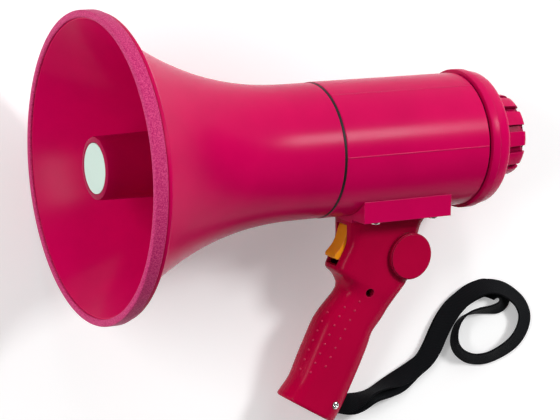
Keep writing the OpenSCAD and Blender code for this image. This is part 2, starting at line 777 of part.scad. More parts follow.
// Block that hugs the body from below and carries the grip
module saddle() {
  side = saddle_w / 2;
  pad = 1.06 * half_w + 2;
  lip_z = 1.4 - sqrt(body_r * body_r - side * side);
  color([0.77, 0.03, 0.2])
    difference() {
      translate([saddle_x, 0, 0])
        rotate([90, 0, 90])
          linear_extrude(height = saddle_l)
            polygon([[-side, lip_z], [-side, ear_z], [-pad, ear_z], [-pad + 0.6, saddle_z],
              [pad - 0.6, saddle_z], [pad, ear_z], [side, ear_z], [side, lip_z]]);
      along_x(saddle_x - 1, saddle_x + saddle_l + 1, body_r + seat);
      for (x = screw_xs, y = [-screw_y, screw_y])
        translate([x, y, saddle_z - 1])
          cylinder(h = body_r, r = screw_shank_r + seat);
      for (y = [-bolt_y, bolt_y])
        translate([bolt_x, y, saddle_z - 1]) {
          cylinder(h = body_r, r = screw_shank_r + seat);
          translate([0, 0, bolt_seat - saddle_z + 1])
            cylinder(h = body_r, r = 3);
        }
      translate([saddle_mid, 0, saddle_z - 1])
        cylinder(h = saddle_floor + 2, r = 5);
    }
}

// Domed screw head with a cross recess, seated at z = 0 and facing -Z
module screw_head(r, h) {
  slot = 0.24 * r;
  difference() {
    rotate_extrude()
      polygon([[0, 0], [r, 0], [r, -0.3 * h], [0.88 * r, -0.7 * h], [0.55 * r, -h], [0, -h]]);
    for (a = [0, 90])
      rotate([0, 0, a])
        translate([-0.6 * r, -slot / 2, -h - 1])
          cube([1.2 * r, slot, 1 + 0.55 * h]);
  }
}

// Pan-head screws that hold the saddle to the body
module saddle_screws() {
  color([0.85, 0.85, 0.87])
    for (x = screw_xs, y = [-screw_y, screw_y])
      translate([x, y, ear_z - seat]) {
        screw_head(screw_head_d / 2, head_h);
        translate([0, 0, -0.1 * head_h])
          cylinder(h = screw_boss_z - ear_z - 1, r = screw_shank_r);
      }
}

// One ring of the grip's loft at station k, drawn in by inset and ending at edge in the plane of the split
function station_row(k) = let (i = floor(k), t = k - floor(k))
  [for (c = [0:3]) between([for (s = stations) s[c]], i, t)];
function section_at(q) = [for (j = [0:len(section) - 1]) section[j] + q * (square[j] - section[j])];
function loft_ring(k, inset, side, edge) = let (
    row = station_row(k),
    dir = (row[1] - row[0]) / norm(row[1] - row[0]),
    front = row[0] + dir * inset,
    rear = row[1] - dir * inset,
    w = row[2] * half_w - inset)
  [for (uv = section_at(row[3])) let (p = front + (rear - front) * uv[0])
    [grip_x + p[0], side * (uv[1] > 0 ? w * uv[1] : edge), grip_top + p[1]]];

// Closed loft through the rings, as triangles
module loft(rings, flip) {
  n = len(rings[0]);
  last = len(rings) - 1;
  points = [for (ring = rings, p = ring) p];
  walls = [for (i = [0:last - 1], j = [0:n - 1]) each
    [[i * n + j, i * n + (j + 1) % n, (i + 1) * n + j],
      [i * n + (j + 1) % n, (i + 1) * n + (j + 1) % n, (i + 1) * n + j]]];
  caps = concat([[for (j = [n - 1:-1:0]) j]], [[for (j = [0:n - 1]) last * n + j]]);
  faces = concat(walls, caps);
  polyhedron(points, flip ? [for (f = faces) [for (i = [len(f) - 1:-1:0]) f[i]]] : faces, 6);
}

loft_steps = 3;
module grip_solid(side) {
  rings = [for (i = [0:loft_steps * station_last]) loft_ring(i / loft_steps, 0, side, seat / 2)];
  loft(rings, side > 0);
}
module grip_hollow(side) {
  rings = [for (k = concat(0.4, [for (i = [1:station_last - 2]) i])) loft_ring(k, grip_wall, side, -1)];
  loft(rings, side > 0);
}

// Cylinder across one half of the grip, from y0 to y1 on that half's side
module across(side, at, y0, y1, r) {
  along_y(at[0], at[1], side < 0 ? -y1 : y0, side < 0 ? -y0 : y1, r);
}

// Bosses that stay standing inside a grip half: pin, switch seat, screws and bolt
module grip_bosses(side) {
  across(side, [pin_x, pin_z], slot_half + 0.2, half_w, pin_r + 2.4);
  across(side, recess_at, seat / 2, half_w, recess_d / 2 + 2);
  across(side, strap_screw_at, strap_pocket / 2, half_w, 5);
  translate([switch_x + 1.5, side < 0 ? -half_w : switch_half + seat, plunger_z - 7])
    cube([switch_l - 3, half_w - switch_half - seat, 14]);
  translate([bolt_x, side * bolt_y, grip_top - 9])
    cylinder(h = 9, r = 4);
}

// Pocket and rear slot for the two ends of the strap, in the plane of the split
module strap_slot() {
  corner = handle_at(strap_s, 6) + [grip_x, grip_top];
  translate([corner[0], -strap_pocket / 2, corner[1]])
    rotate([0, handle_lean, 0])
      translate([0, 0, -strap_w / 2 - 1])
        cube([40, strap_pocket, strap_w + 6]);
}

// One half of the grip: hollow shell with its bosses and its round cheek
module grip_half(side) {
  difference() {
    union() {
      difference() {
        grip_solid(side);
        difference() {
          grip_hollow(side);
          grip_bosses(side);
        }
      }
      across(side, [wheel_x, wheel_z], cheek_in, cheek_y - 0.8, cheek_r);
      across(side, [wheel_x, wheel_z], cheek_in, cheek_y, cheek_r - 0.8);
    }
    translate([pin_x - 40 * grip_unit, -slot_half, slot_low])
      cube([48 * grip_unit, 2 * slot_half, slot_top - slot_low]);
    along_y(wheel_x, wheel_z, -cheek_in, cheek_in, wheel_r + clear);
    along_y(pin_x, pin_z, -pin_half - seat, pin_half + seat, pin_r + 0.02);
    along_y(strap_screw_at[0], strap_screw_at[1], -half_w, 11, screw_shank_r + seat);
    translate([bolt_x, side * bolt_y, grip_top - 8])
      cylinder(h = 9, r = screw_shank_r + seat);
    translate([saddle_mid, 0, grip_top - 6])
      cylinder(h = 7, r = 4);
    strap_slot();
    children();
  }
}

module grip_left() {
  color([0.75, 0.03, 0.19])
    grip_half(-1) {
      along_y(recess_at[0], recess_at[1], -half_w - 1, -recess_floor, recess_d / 2);
      along_y(recess_at[0], recess_at[1], -recess_floor - 1, 1, screw_shank_r + seat);
      along_y(wheel_x, wheel_z, -shaft_left - seat, 0, shaft_r + run_gap);
      along_y(strap_screw_at[0], strap_screw_at[1], -half_w - 1, -strap_head_y, strap_head_r + seat);
    }
}

module grip_right() {
  color([0.75, 0.03, 0.19])
    grip_half(1) {
      along_y(recess_at[0], recess_at[1], -1, recess_grip + seat, screw_shank_r + seat);
      along_y(wheel_x, wheel_z, 0, pot_y + pot_l + seat, pot_r + seat);
    }
}

// Screw at the bottom of the recess, into the boss of the other half
module grip_screw() {
  color([0.7, 0.7, 0.72]) {
    translate([recess_at[0], -recess_floor - seat, recess_at[1]])
      rotate([-90, 0, 0])
        screw_head(recess_d / 2 - 0.3, 2.2);
    along_y(recess_at[0], recess_at[1], -recess_floor - 0.6, recess_grip, screw_shank_r);
  }
}

// Flat-headed bolts from inside the saddle down into the grip
module grip_bolts() {
  color([0.7, 0.7, 0.72])
    for (y = [-bolt_y, bolt_y])
      translate([bolt_x, y, bolt_seat + seat]) {
        cylinder(h = 1.1, r = 2.9);
        translate([0, 0, -9])
          cylinder(h = 9.5, r = screw_shank_r);
      }
}

// Talk trigger, hung from its pin, with a hollow front for the finger
module trigger() {
  color([0.93, 0.45, 0.05])
    translate([pin_x, 0, pin_z])
      difference() {
        rotate([90, 0, 0])
          translate([0, 0, -trigger_w / 2])
            linear_extrude(height = trigger_w)
              polygon(grip_unit * [[-8, 3.3], [-9.2, 0], [-10.4, -4], [-12, -8], [-14.2, -11.6],
                [-16.8, -14.4], [-18.7, -16.2], [-19.4, -17.6], [-19.2, -18.8], [-18.2, -19.7],
                [-16.6, -20.2], [-9, -20.2], [-3, -19.4], [3, -15], [3, 0], [2.2, 2.4], [0, 3.6],
                [-4, 3.8]]);
        along_y(0, 0, -trigger_w, trigger_w, pin_r + run_gap);
      }
}

module trigger_pin() {
  color([0.75, 0.75, 0.77])
    along_y(pin_x, pin_z, -pin_half, pin_half, pin_r);
}

module talk_switch() {
  color([0.1, 0.1, 0.11])
    difference() {
      translate([switch_x, -switch_half, plunger_z - switch_h / 2])
        cube([switch_l, 2 * switch_half, switch_h]);
      translate([switch_x - 1, 0, plunger_z])
        rotate([0, 90, 0])
          cylinder(h = 6.6, r = plunger_r + run_gap);
    }
}

module switch_plunger() {
  color([0.85, 0.84, 0.8])
    translate([plunger_x, 0, plunger_z])
      rotate([0, 90, 0]) {
        cylinder(h = 1, r1 = plunger_r - 0.6, r2 = plunger_r);
        translate([0, 0, 0.9])
          cylinder(h = 5.4, r = plunger_r);
      }
}

// Ridged thumbwheel whose rear edge stands out between the cheeks
module volume_wheel() {
  n = wheel_ridges;
  rim = [for (i = [0:n - 1], h = [[-0.32, 0.9], [-0.18, 0], [0.18, 0], [0.32, 0.9]])
    (wheel_r - h[1]) * [cos((i + h[0]) * 360 / n), sin((i + h[0]) * 360 / n)]];
  color([0.06, 0.06, 0.07])
    translate([wheel_x, wheel_w / 2, wheel_z])
      rotate([90, 0, 0])
        difference() {
          linear_extrude(height = wheel_w)
            polygon(rim);
          translate([0, 0, -1])
            cylinder(h = wheel_w + 2, r = shaft_r + seat);
        }
}

module volume_shaft() {
  color([0.7, 0.7, 0.72])
    along_y(wheel_x, wheel_z, -shaft_left, pot_y + pot_l - 1.5, shaft_r);
}

module volume_pot() {
  color([0.35, 0.36, 0.38])
    difference() {
      along_y(wheel_x, wheel_z, pot_y, pot_y + pot_l, pot_r);
      along_y(wheel_x, wheel_z, pot_y - 1, pot_y + pot_l - 1.4, shaft_r + run_gap);
    }
}

// Round tube through smoothed points
module cable(route, r, rings, sides) {
  path = [for (i = [0:rings]) let (k = i * (len(route) - 1) / rings)
    between(route, floor(k), k - floor(k))];
  loops = [for (i = [0:rings]) let (
      t = path[min(rings, i + 1)] - path[max(0, i - 1)],
      u = t / norm(t),
      s = cross(u, [0, 1, 0]) / norm(cross(u, [0, 1, 0])),
      v = cross(s, u))
    [for (j = [0:sides - 1]) path[i] + r * (cos(j * 360 / sides) * s + sin(j * 360 / sides) * v)]];
  loft(loops, false);
}

// Wires from the board along the floor of the body and down to the talk switch
module wire_loom() {
  r = 1.1;
  low = -(body_in - r - 0.3);
  x0 = board_x + board_t + r + seat;
  color([0.1, 0.1, 0.1])
    cable([[x0, 0, low + 9], [x0, 0, low + 4], [x0 + 3, 0, low + 0.4], [x0 + 8, 0, low],
      [x0 + 18, 0, low], [saddle_mid - 8, 0, low], [saddle_mid - 1.5, 0, low - 1.5],
      [saddle_mid, 0, low - 7],
      [saddle_mid - 2.4, 0, grip_top - 4.2], [saddle_mid - 7, 0, grip_top - 5.4],
      [switch_x + 4.4, 0, grip_top - 6.6], [switch_x + 4, 0, plunger_z + switch_h / 2 + 1.5]],
      r, 48, 8);
}

module strap_screw() {
  at = strap_screw_at;
  color([0.86, 0.86, 0.88]) {
    translate([at[0], -strap_head_y - seat, at[1]])
      rotate([-90, 0, 0])
        screw_head(strap_head_r, 2);
    along_y(at[0], at[1], -strap_head_y - 0.5, 10.8, screw_shank_r);
  }
}

// Flat webbing along a route of points with a twist, as one closed loft
module webbing(route, rings) {
  path = [for (i = [0:rings]) let (k = i * (len(route) - 1) / rings)
    between(route, floor(k), k - floor(k))];
  points = [for (p = path) [p[0], p[1], p[2]]];
  edge = [[-0.5, 0.3], [-0.46, 0.5], [0, 0.5], [0.46, 0.5], [0.5, 0.3], [0.5, -0.3], [0.46, -0.5],
    [0, -0.5], [-0.46, -0.5], [-0.5, -0.3]];
  loops = [for (i = [0:rings]) let (
      t = points[min(rings, i + 1)] - points[max(0, i - 1)],
      u = t / norm(t),
      s = cross(u, [0, 0, 1]) / norm(cross(u, [0, 0, 1])),
      v = cross(s, u),
      a = path[i][3],
      across = cos(a) * s + sin(a) * v,
      up = cos(a) * v - sin(a) * s)
    [for (e = edge) points[i] + strap_w * e[0] * across + strap_t * e[1] * up]];
  loft(loops, true);
}

module strap() {
  color([0.04, 0.04, 0.045])
    difference() {
      webbing(strap_route, strap_rings);
      lying()
        along_y(strap_screw_at[0], strap_screw_at[1], -half_w, half_w, screw_shank_r + 0.3);
    }
}

lying() bell();
lying() rim_ring();
lying() reflector_cup();
lying() badge_disc();
lying() tone_tube();
lying() throat_plate();
lying() driver_front();
lying() diaphragm();
lying() voice_coil();
lying() driver_magnet();
lying() driver_yoke();
lying() driver_cap();
lying() seam_gasket();
lying() rear_body();
lying() amplifier_board();
lying() board_parts();
lying() battery_holder();
lying() battery_cells();
lying() battery_contacts();
lying() cover_seal();
lying() rear_cover();
lying() mic_boot();
lying() mic_capsule();
lying() mic_grille();
lying() saddle();
lying() saddle_screws();
lying() grip_left();
lying() grip_right();
lying() grip_screw();
lying() grip_bolts();
lying() trigger();
lying() trigger_pin();
lying() talk_switch();
lying() switch_plunger();
lying() volume_wheel();
lying() volume_shaft();
lying() volume_pot();
lying() wire_loom();
lying() strap_screw();
strap();

// Places that the moving pieces turn and slide about, in the lying frame
echo(horn_axis = lie([1, 0, 0]) - lie([0, 0, 0]), side_axis = lie([0, 1, 0]) - lie([0, 0, 0]));
echo(up_axis = lie([0, 0, 1]) - lie([0, 0, 0]));
echo(mouth_at = lie([0, 0, 0]), trigger_at = lie([pin_x, 0, pin_z]), wheel_at = lie([wheel_x, 0, wheel_z]));
echo(cover_at = lie([skirt_end, 0, 0]), plunger_arm = plunger_arm);
echo(rest_pitch = rest_pitch, rest_roll = rest_roll);
echo(strap_from = strap_route[0], strap_exit = strap_exit, strap_tilt = strap_tilt);
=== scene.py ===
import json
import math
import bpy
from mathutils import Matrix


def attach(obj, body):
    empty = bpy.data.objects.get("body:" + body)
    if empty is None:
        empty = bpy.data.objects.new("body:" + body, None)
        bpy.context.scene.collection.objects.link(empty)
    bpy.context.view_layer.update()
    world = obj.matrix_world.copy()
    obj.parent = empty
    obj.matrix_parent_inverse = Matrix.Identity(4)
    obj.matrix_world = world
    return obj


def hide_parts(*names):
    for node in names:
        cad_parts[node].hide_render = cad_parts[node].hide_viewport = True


bl_info = {
    "name": "Handheld megaphone",
    "version": (1, 0, 0),
    "blender": (4, 5, 0),
    "location": "View3D > Sidebar > Megaphone",
    "description": "Finishes, soft strap and studio for a handheld megaphone on its packed frame",
    "category": "Object",
}

import bmesh
import bpy
from bpy.props import FloatProperty, FloatVectorProperty, IntProperty, PointerProperty
from mathutils import Matrix, Vector

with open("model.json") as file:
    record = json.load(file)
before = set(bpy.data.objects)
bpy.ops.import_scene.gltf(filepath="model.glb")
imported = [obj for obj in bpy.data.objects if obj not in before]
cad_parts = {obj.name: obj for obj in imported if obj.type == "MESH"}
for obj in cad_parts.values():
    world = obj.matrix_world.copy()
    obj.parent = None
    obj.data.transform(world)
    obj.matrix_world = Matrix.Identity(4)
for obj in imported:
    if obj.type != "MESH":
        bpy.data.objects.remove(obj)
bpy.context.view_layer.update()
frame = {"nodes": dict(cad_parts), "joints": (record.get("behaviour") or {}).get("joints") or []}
NODES = frame["nodes"]
JOINTS = {j["name"]: j for j in frame["joints"]}

# The horn's own frame inside the lying part: axis from mouth to rear, sideways, and up from the grip
HORN = Vector(JOINTS["cover_turn"]["axis"]).normalized()
SIDE = -Vector(JOINTS["trigger_pull"]["axis"]).normalized()
UP = HORN.cross(SIDE).normalized()
# From the mouth to the joint of the rear cover, along the axis, in metres
COVER_X = 0.3076
MOUTH = Vector(JOINTS["cover_turn"]["pos_m"]) - HORN * COVER_X
LYING = Matrix.Translation(MOUTH) @ Matrix((HORN, SIDE, UP)).transposed().to_4x4()


def lie(x, y, z):
    """A point of the horn's own frame, in millimetres, as it lies on the floor, in metres."""
    return LYING @ (Vector((x, y, z)) / 1000)


# The grip's place on the horn, and where the line of its leaning handle starts from there, in millimetres
GRIP_X, GRIP_TOP = 230.0, -50.5
HANDLE_X, HANDLE_Z = -10.0, -50.0
LEAN = math.radians(31)

# The strap's two ends: how far down the handle they are held and half their distance, in millimetres, and
# the tilt of the webbing there, in degrees
STRAP_DOWN = 89.0
STRAP_LAY = 1.1
STRAP_TILT = -9.55755
# First points behind the handle's line: reach and rise in millimetres
STRAP_ENDS = ((9, 0), (17, 0.3), (26, 2))
# Route on the floor: x, y and z in metres and the twist of the webbing in degrees
STRAP_FLOOR = (
    (0.036, -0.137, 0.0122, 4), (0.044, -0.135, 0.0108, 46), (0.0545, -0.1315, 0.009, 74),
    (0.0665, -0.1275, 0.0082, 60), (0.079, -0.124, 0.0072, 30), (0.09, -0.1195, 0.0066, 8),
    (0.1005, -0.1135, 0.0064, 4), (0.108, -0.1055, 0.0064, 6), (0.1145, -0.0955, 0.0065, 8),
    (0.121, -0.0865, 0.0066, 12), (0.1285, -0.0785, 0.0068, 18), (0.138, -0.0715, 0.007, 24),
    (0.148, -0.067, 0.0074, 30), (0.159, -0.066, 0.0076, 35), (0.1695, -0.069, 0.0072, 34),
    (0.1775, -0.075, 0.0066, 32), (0.183, -0.082, 0.006, 30), (0.185, -0.091, 0.0056, 29),
    (0.1815, -0.1005, 0.0056, 32), (0.1735, -0.109, 0.006, 38), (0.162, -0.115, 0.0065, 46),
    (0.149, -0.1185, 0.007, 54), (0.137, -0.1175, 0.0074, 64), (0.129, -0.1125, 0.0076, 76),
    (0.1255, -0.106, 0.0077, 86), (0.126, -0.0985, 0.0077, 92), (0.13, -0.0905, 0.0077, 96),
    (0.137, -0.085, 0.0077, 98), (0.146, -0.083, 0.0076, 102), (0.157, -0.083, 0.0072, 112),
    (0.165, -0.082, 0.0062, 130), (0.1695, -0.078, 0.0044, 152), (0.1695, -0.0735, 0.0026, 168),
    (0.165, -0.0695, 0.0015, 178), (0.157, -0.0665, 0.0014, 180), (0.148, -0.0685, 0.0014, 180),
    (0.138, -0.073, 0.0014, 180), (0.129, -0.0785, 0.0014, 180), (0.121, -0.0865, 0.0014, 180),
    (0.1145, -0.0955, 0.0014, 180), (0.108, -0.1055, 0.0014, 180), (0.101, -0.114, 0.0014, 180),
    (0.091, -0.121, 0.0014, 180), (0.081, -0.1275, 0.0028, 166), (0.0685, -0.133, 0.0062, 128),
    (0.056, -0.137, 0.0076, 106), (0.045, -0.1395, 0.0082, 134), (0.0365, -0.139, 0.0084, 176),
)


class MegaphoneLooks(bpy.types.PropertyGroup):
    shell_colour: FloatVectorProperty(
        name="Shell", description="Colour of the moulded shells", subtype="COLOR", size=3,
        min=0, max=1, default=(0.64, 0.0004, 0.093))
    # The grip's colour is a darker, redder copy of the shell red: painted shade on the grip
    grip_shaded_colour: FloatVectorProperty(
        name="Grip", description="Colour of the grip's two halves", subtype="COLOR", size=3,
        min=0, max=1, default=(0.5, 0.0004, 0.045))
    rim_colour: FloatVectorProperty(
        name="Rim", description="Colour of the textured rim ring", subtype="COLOR", size=3,
        min=0, max=1, default=(0.68, 0.015, 0.17))
    trigger_colour: FloatVectorProperty(
        name="Trigger", description="Colour of the talk trigger", subtype="COLOR", size=3,
        min=0, max=1, default=(1.0, 0.36, 0.012))
    badge_colour: FloatVectorProperty(
        name="Badge", description="Colour of the bare badge disc", subtype="COLOR", size=3,
        min=0, max=1, default=(0.66, 0.84, 0.75))
    webbing_colour: FloatVectorProperty(
        name="Webbing", description="Colour of the wrist strap", subtype="COLOR", size=3,
        min=0, max=1, default=(0.003, 0.0033, 0.0042))
    shell_roughness: FloatProperty(
        name="Shell roughness", description="Roughness of the moulded shells", subtype="FACTOR",
        min=0.05, max=1, default=0.235)
    edge_round: FloatProperty(
        name="Edge rounding", description="Radius that moulded edges seem rounded by", subtype="DISTANCE",
        unit="LENGTH", min=0, max=0.002, default=0.0006)


class MegaphoneSizes(bpy.types.PropertyGroup):
    strap_width: FloatProperty(
        name="Strap width", description="Width of the webbing", subtype="DISTANCE", unit="LENGTH",
        min=0.006, max=0.03, default=0.014)
    strap_thickness: FloatProperty(
        name="Strap thickness", description="Thickness of the webbing", subtype="DISTANCE", unit="LENGTH",
        min=0.0008, max=0.003, default=0.0016)
    strap_rings: IntProperty(
        name="Strap rings", description="Cross-sections along the strap", min=100, max=900, default=520)
    pip_pitch: FloatProperty(
        name="Pip pitch", description="Distance between two pips along the handle", subtype="DISTANCE",
        unit="LENGTH", min=0.003, max=0.02, default=0.00745)
    pip_turn: FloatProperty(
        name="Pip lane angle", description="Angle round the handle between two lanes of pips",
        subtype="ANGLE", unit="ROTATION", min=0.1, max=0.8, default=math.radians(24))
    pip_radius: FloatProperty(
        name="Pip radius", description="Radius of one moulded pip", subtype="DISTANCE", unit="LENGTH",
        min=0.0003, max=0.002, default=0.0009)


# Materials

# Noise scales in cells per metre, for plastic: flow marks, fine gloss, soft peel and sparkling grain
FLOW_SCALE = 22
FINE_SCALE = 900
PEEL_SCALE = 110
GRAIN_SCALE = 1 / 0.0009
# Strength of the peel, and depths of the bumps in metres
PEEL_STRENGTH = 0.02
PEEL_DEPTH = 0.0004
GRAIN_DEPTH = 0.0006
SCRATCH_DEPTH = 0.0002
SPECK_DEPTH = 0.0003
WEAVE_DEPTH = 0.00022
# Darkest and palest shade of a colour that varies, as factors
PLASTIC_SHADES = (0.93, 1.05)
METAL_SHADES = (0.86, 1.08)
# The webbing's two shades: painted shade in the weave's valleys and painted highlight on its ribs
WEBBING_PAINTED_SHADES = (0.55, 2.2)
# The grain's darker specks are painted shade, its paler ones painted sparkle
GRAIN_SHADE = 0.72
# The plug's factor darkens the shell red: painted shade
PLUG_PAINTED_SHADE = 0.62
# Spread of the roughness: of plastic by flow marks and fine gloss, of metal as factors, of specks as
# differences
FLOW_GLOSS = 0.02
FINE_GLOSS = 0.015
METAL_GLOSS = (0.75, 1.3)
SPECK_GLOSS = (-0.06, 0.08)
# Roughness of the rim and the strength of its grain, and roughness and edge of the trigger
RIM_ROUGHNESS = 0.42
RIM_GRAIN = 0.5
TRIGGER_ROUGHNESS = 0.34
TRIGGER_EDGE = 0.0012
# Low specular level of the plastic, so that the white floor doesn't wash out its colour
PLASTIC_SPECULAR = 0.06
# Weave of the webbing: pitch of its rows and ribs in metres, strength of their bump, scale and roughness of
# its fuzz, and its specular level
WARP_PITCH = 0.0011
WEFT_PITCH = WARP_PITCH * 1.25
WEAVE_STRENGTH = 0.55
FUZZ_SCALE = 1600
FUZZ_ROUGHNESS = (0.55, 0.8)
WEBBING_SPECULAR = 0.07
# Tint of paler edges, painted highlight with some wear, its share in their colour, and how much of it they
# show
EDGE_HIGHLIGHT_AND_WEAR_TINT = (0.95, 0.24, 0.45)
EDGE_HIGHLIGHT_AND_WEAR_SHARE = 0.3
EDGE_HIGHLIGHT_AND_WEAR_STRENGTH = 0.5
# Reach of gaps that get painted shade, in metres, how much of it they show, and how far it darkens them
GAP_REACH = 0.006
GAP_SHADE_STRENGTH = 0.85
GAP_SHADE_DARKNESS = 0.1
# Radius in metres that small metal and technical pieces seem rounded by
SMALL_EDGE = 0.0004
# Tint of the paler pips, painted highlight with some rubbing, its share in their colour, and their roughness
# and edge
PIP_HIGHLIGHT_AND_WEAR_TINT = (0.95, 0.2, 0.35)
PIP_HIGHLIGHT_AND_WEAR_SHARE = 0.16
PIP_ROUGHNESS = 0.2
PIP_EDGE = 0.0002


class Finish:
    """A node material that is filled step by step."""

    def __init__(self, name):
        self.material = bpy.data.materials.new(name)
        self.material.use_nodes = True
        self.tree = self.material.node_tree
        self.shader = self.tree.nodes["Principled BSDF"]
        self.row = 0

    def node(self, kind, **settings):
        """A node with its settings, placed in rows to the left of the shader."""
        made = self.tree.nodes.new(kind)
        self.row += 1
        made.location = (-260 - 190 * (self.row % 6), 320 - 210 * (self.row // 6))
        for key, value in settings.items():
            setattr(made, key, value)
        return made

    def link(self, a, b):
        self.tree.links.new(a, b)

    def set(self, **values):
        """Constants on the shader's own sockets."""
        for key, value in values.items():
            self.shader.inputs[key.replace("_", " ")].default_value = value

    def coords(self, scale=(1, 1, 1)):
        """Object coordinates through a Mapping node."""
        where = self.node("ShaderNodeTexCoord")
        mapping = self.node("ShaderNodeMapping")
        mapping.inputs["Scale"].default_value = scale
        self.link(where.outputs["Object"], mapping.inputs["Vector"])
        return mapping.outputs["Vector"]

    def noise(self, vector, scale, detail, rough):
        made = self.node("ShaderNodeTexNoise")
        made.inputs["Scale"].default_value = scale
        made.inputs["Detail"].default_value = detail
        made.inputs["Roughness"].default_value = rough
        self.link(vector, made.inputs["Vector"])
        return made.outputs["Fac"]

    def span(self, value, low, high, start=0.3, end=0.7):
        """A value between start and end, where most of a noise lies, spread over low to high."""
        made = self.node("ShaderNodeMapRange")
        made.inputs["From Min"].default_value = start
        made.inputs["From Max"].default_value = end
        made.inputs["To Min"].default_value = low
        made.inputs["To Max"].default_value = high
        self.link(value, made.inputs["Value"])
        return made.outputs["Result"]

    def blend(self, factor, a, b):
        """Colour a where the factor is 0 and colour b where it is 1."""
        made = self.node("ShaderNodeMix", data_type="RGBA")
        for socket, value in ((6, a), (7, b)):
            if isinstance(value, (tuple, list)):
                made.inputs[socket].default_value = (*value[:3], 1)
            else:
                self.link(value, made.inputs[socket])
        self.link(factor, made.inputs[0])
        return made.outputs[2]

    def maths(self, operation, a, b=None):
        made = self.node("ShaderNodeMath", operation=operation)
        for socket, value in ((0, a), (1, b)):
            if isinstance(value, (int, float)):
                made.inputs[socket].default_value = value
            elif value is not None:
                self.link(value, made.inputs[socket])
        return made.outputs[0]

    def colour(self, value):
        self.link(value, self.shader.inputs["Base Color"])

    def rough(self, value):
        self.link(value, self.shader.inputs["Roughness"])

    def normal(self, value):
        self.link(value, self.shader.inputs["Normal"])

    def bump(self, height, strength, distance, normal=None):
        made = self.node("ShaderNodeBump")
        made.inputs["Strength"].default_value = strength
        made.inputs["Distance"].default_value = distance
        self.link(height, made.inputs["Height"])
        if normal is not None:
            self.link(normal, made.inputs["Normal"])
        return made.outputs["Normal"]

    def rounding(self, radius):
        """Normals that make edges look rounded."""
        made = self.node("ShaderNodeBevel", samples=6)
        made.inputs["Radius"].default_value = radius
        return made.outputs["Normal"]

    def edges(self, rounded):
        """1 on rounded edges and 0 on open faces."""
        flat = self.node("ShaderNodeNewGeometry")
        dot = self.node("ShaderNodeVectorMath", operation="DOT_PRODUCT")
        self.link(rounded, dot.inputs[0])
        self.link(flat.outputs["Normal"], dot.inputs[1])
        away = self.maths("SUBTRACT", 1.0, dot.outputs["Value"])
        return self.span(away, 0.0, 1.0, start=0.02, end=0.16)

    def hollows(self, reach):
        """1 in gaps and corners that the piece's own faces close in on, 0 on open faces: the mask of painted
        shade.
        """
        made = self.node("ShaderNodeAmbientOcclusion", samples=4, only_local=True)
        made.inputs["Distance"].default_value = reach
        return self.span(made.outputs["AO"], 1.0, 0.0, start=0.35, end=0.85)


def shaded(colour, factor):
    """A colour made darker or paler by a factor."""
    return tuple(min(1.0, c * factor) for c in colour[:3])


def shades(colour, factors):
    """A colour made darker or paler by each of several factors."""
    return [shaded(colour, factor) for factor in factors]


def tinted(colour, tint, share):
    """A colour with a share of another one in it."""
    return tuple(c * (1 - share) + share * t for c, t in zip(colour, tint))


def moulded_plastic(name, colour, roughness, edge, grain=0.0, gaps=0.0):
    """Glossy moulded plastic: slight flow marks in the colour, soft peel in the gloss, paler edges that are
    painted highlight with some wear.

    With grain the surface sparkles, its colour specks painted sparkle and shade. With gaps, a reach in
    metres, deep gaps and corners are darker: painted shade.
    """
    finish = Finish(name)
    where = finish.coords()
    flow = finish.noise(where, FLOW_SCALE, detail=4, rough=0.55)
    fine = finish.noise(where, FINE_SCALE, detail=2, rough=0.6)
    peel = finish.noise(where, PEEL_SCALE, detail=1, rough=0.4)
    rounded = finish.rounding(edge)
    edge_highlight_and_wear = finish.edges(rounded)
    if gaps > 0:
        hollow = finish.hollows(gaps)
        edge_highlight_and_wear = finish.maths("MULTIPLY", edge_highlight_and_wear, finish.maths("SUBTRACT", 1.0, hollow))
    # Paler edges: painted highlight on rounded edges, with some wear
    pale = tinted(colour, EDGE_HIGHLIGHT_AND_WEAR_TINT, EDGE_HIGHLIGHT_AND_WEAR_SHARE)
    base = finish.blend(finish.span(flow, 0, 1), *shades(colour, PLASTIC_SHADES))
    base = finish.blend(finish.maths("MULTIPLY", edge_highlight_and_wear, EDGE_HIGHLIGHT_AND_WEAR_STRENGTH), base, pale)
    # Painted shade: deep gaps and corners darkened towards a darker copy of the colour
    if gaps > 0:
        painted_gap_shade = finish.maths("MULTIPLY", hollow, GAP_SHADE_STRENGTH)
        base = finish.blend(painted_gap_shade, base, shaded(colour, GAP_SHADE_DARKNESS))
    broad = finish.span(flow, roughness - FLOW_GLOSS, roughness + FLOW_GLOSS)
    finish.rough(finish.maths("ADD", broad, finish.span(fine, 0.0, FINE_GLOSS)))
    normal = finish.bump(peel, PEEL_STRENGTH, PEEL_DEPTH, rounded)
    if grain > 0:
        spark = finish.noise(where, GRAIN_SCALE, detail=2, rough=0.7)
        normal = finish.bump(spark, grain, GRAIN_DEPTH, normal)
        # The grain's colour specks: painted sparkle and shade on top of its bump
        base = finish.blend(finish.span(spark, 0, 1, start=0.36, end=0.66), shaded(colour, GRAIN_SHADE), pale)
    finish.colour(base)
    finish.normal(normal)
    finish.set(IOR=1.5, Specular_IOR_Level=PLASTIC_SPECULAR)
    return finish


def plain_metal(name, colour, roughness, brushed=0.25, scale=(60, 900, 900)):
    """Metal with fine scratches along one direction."""
    finish = Finish(name)
    lines = finish.noise(finish.coords(scale), 1.0, detail=3, rough=0.6)
    finish.colour(finish.blend(finish.span(lines, 0, 1), *shades(colour, METAL_SHADES)))
    finish.rough(finish.span(lines, *(roughness * factor for factor in METAL_GLOSS)))
    finish.normal(finish.bump(lines, brushed, SCRATCH_DEPTH, finish.rounding(SMALL_EDGE)))
    finish.set(Metallic=1.0)
    return finish


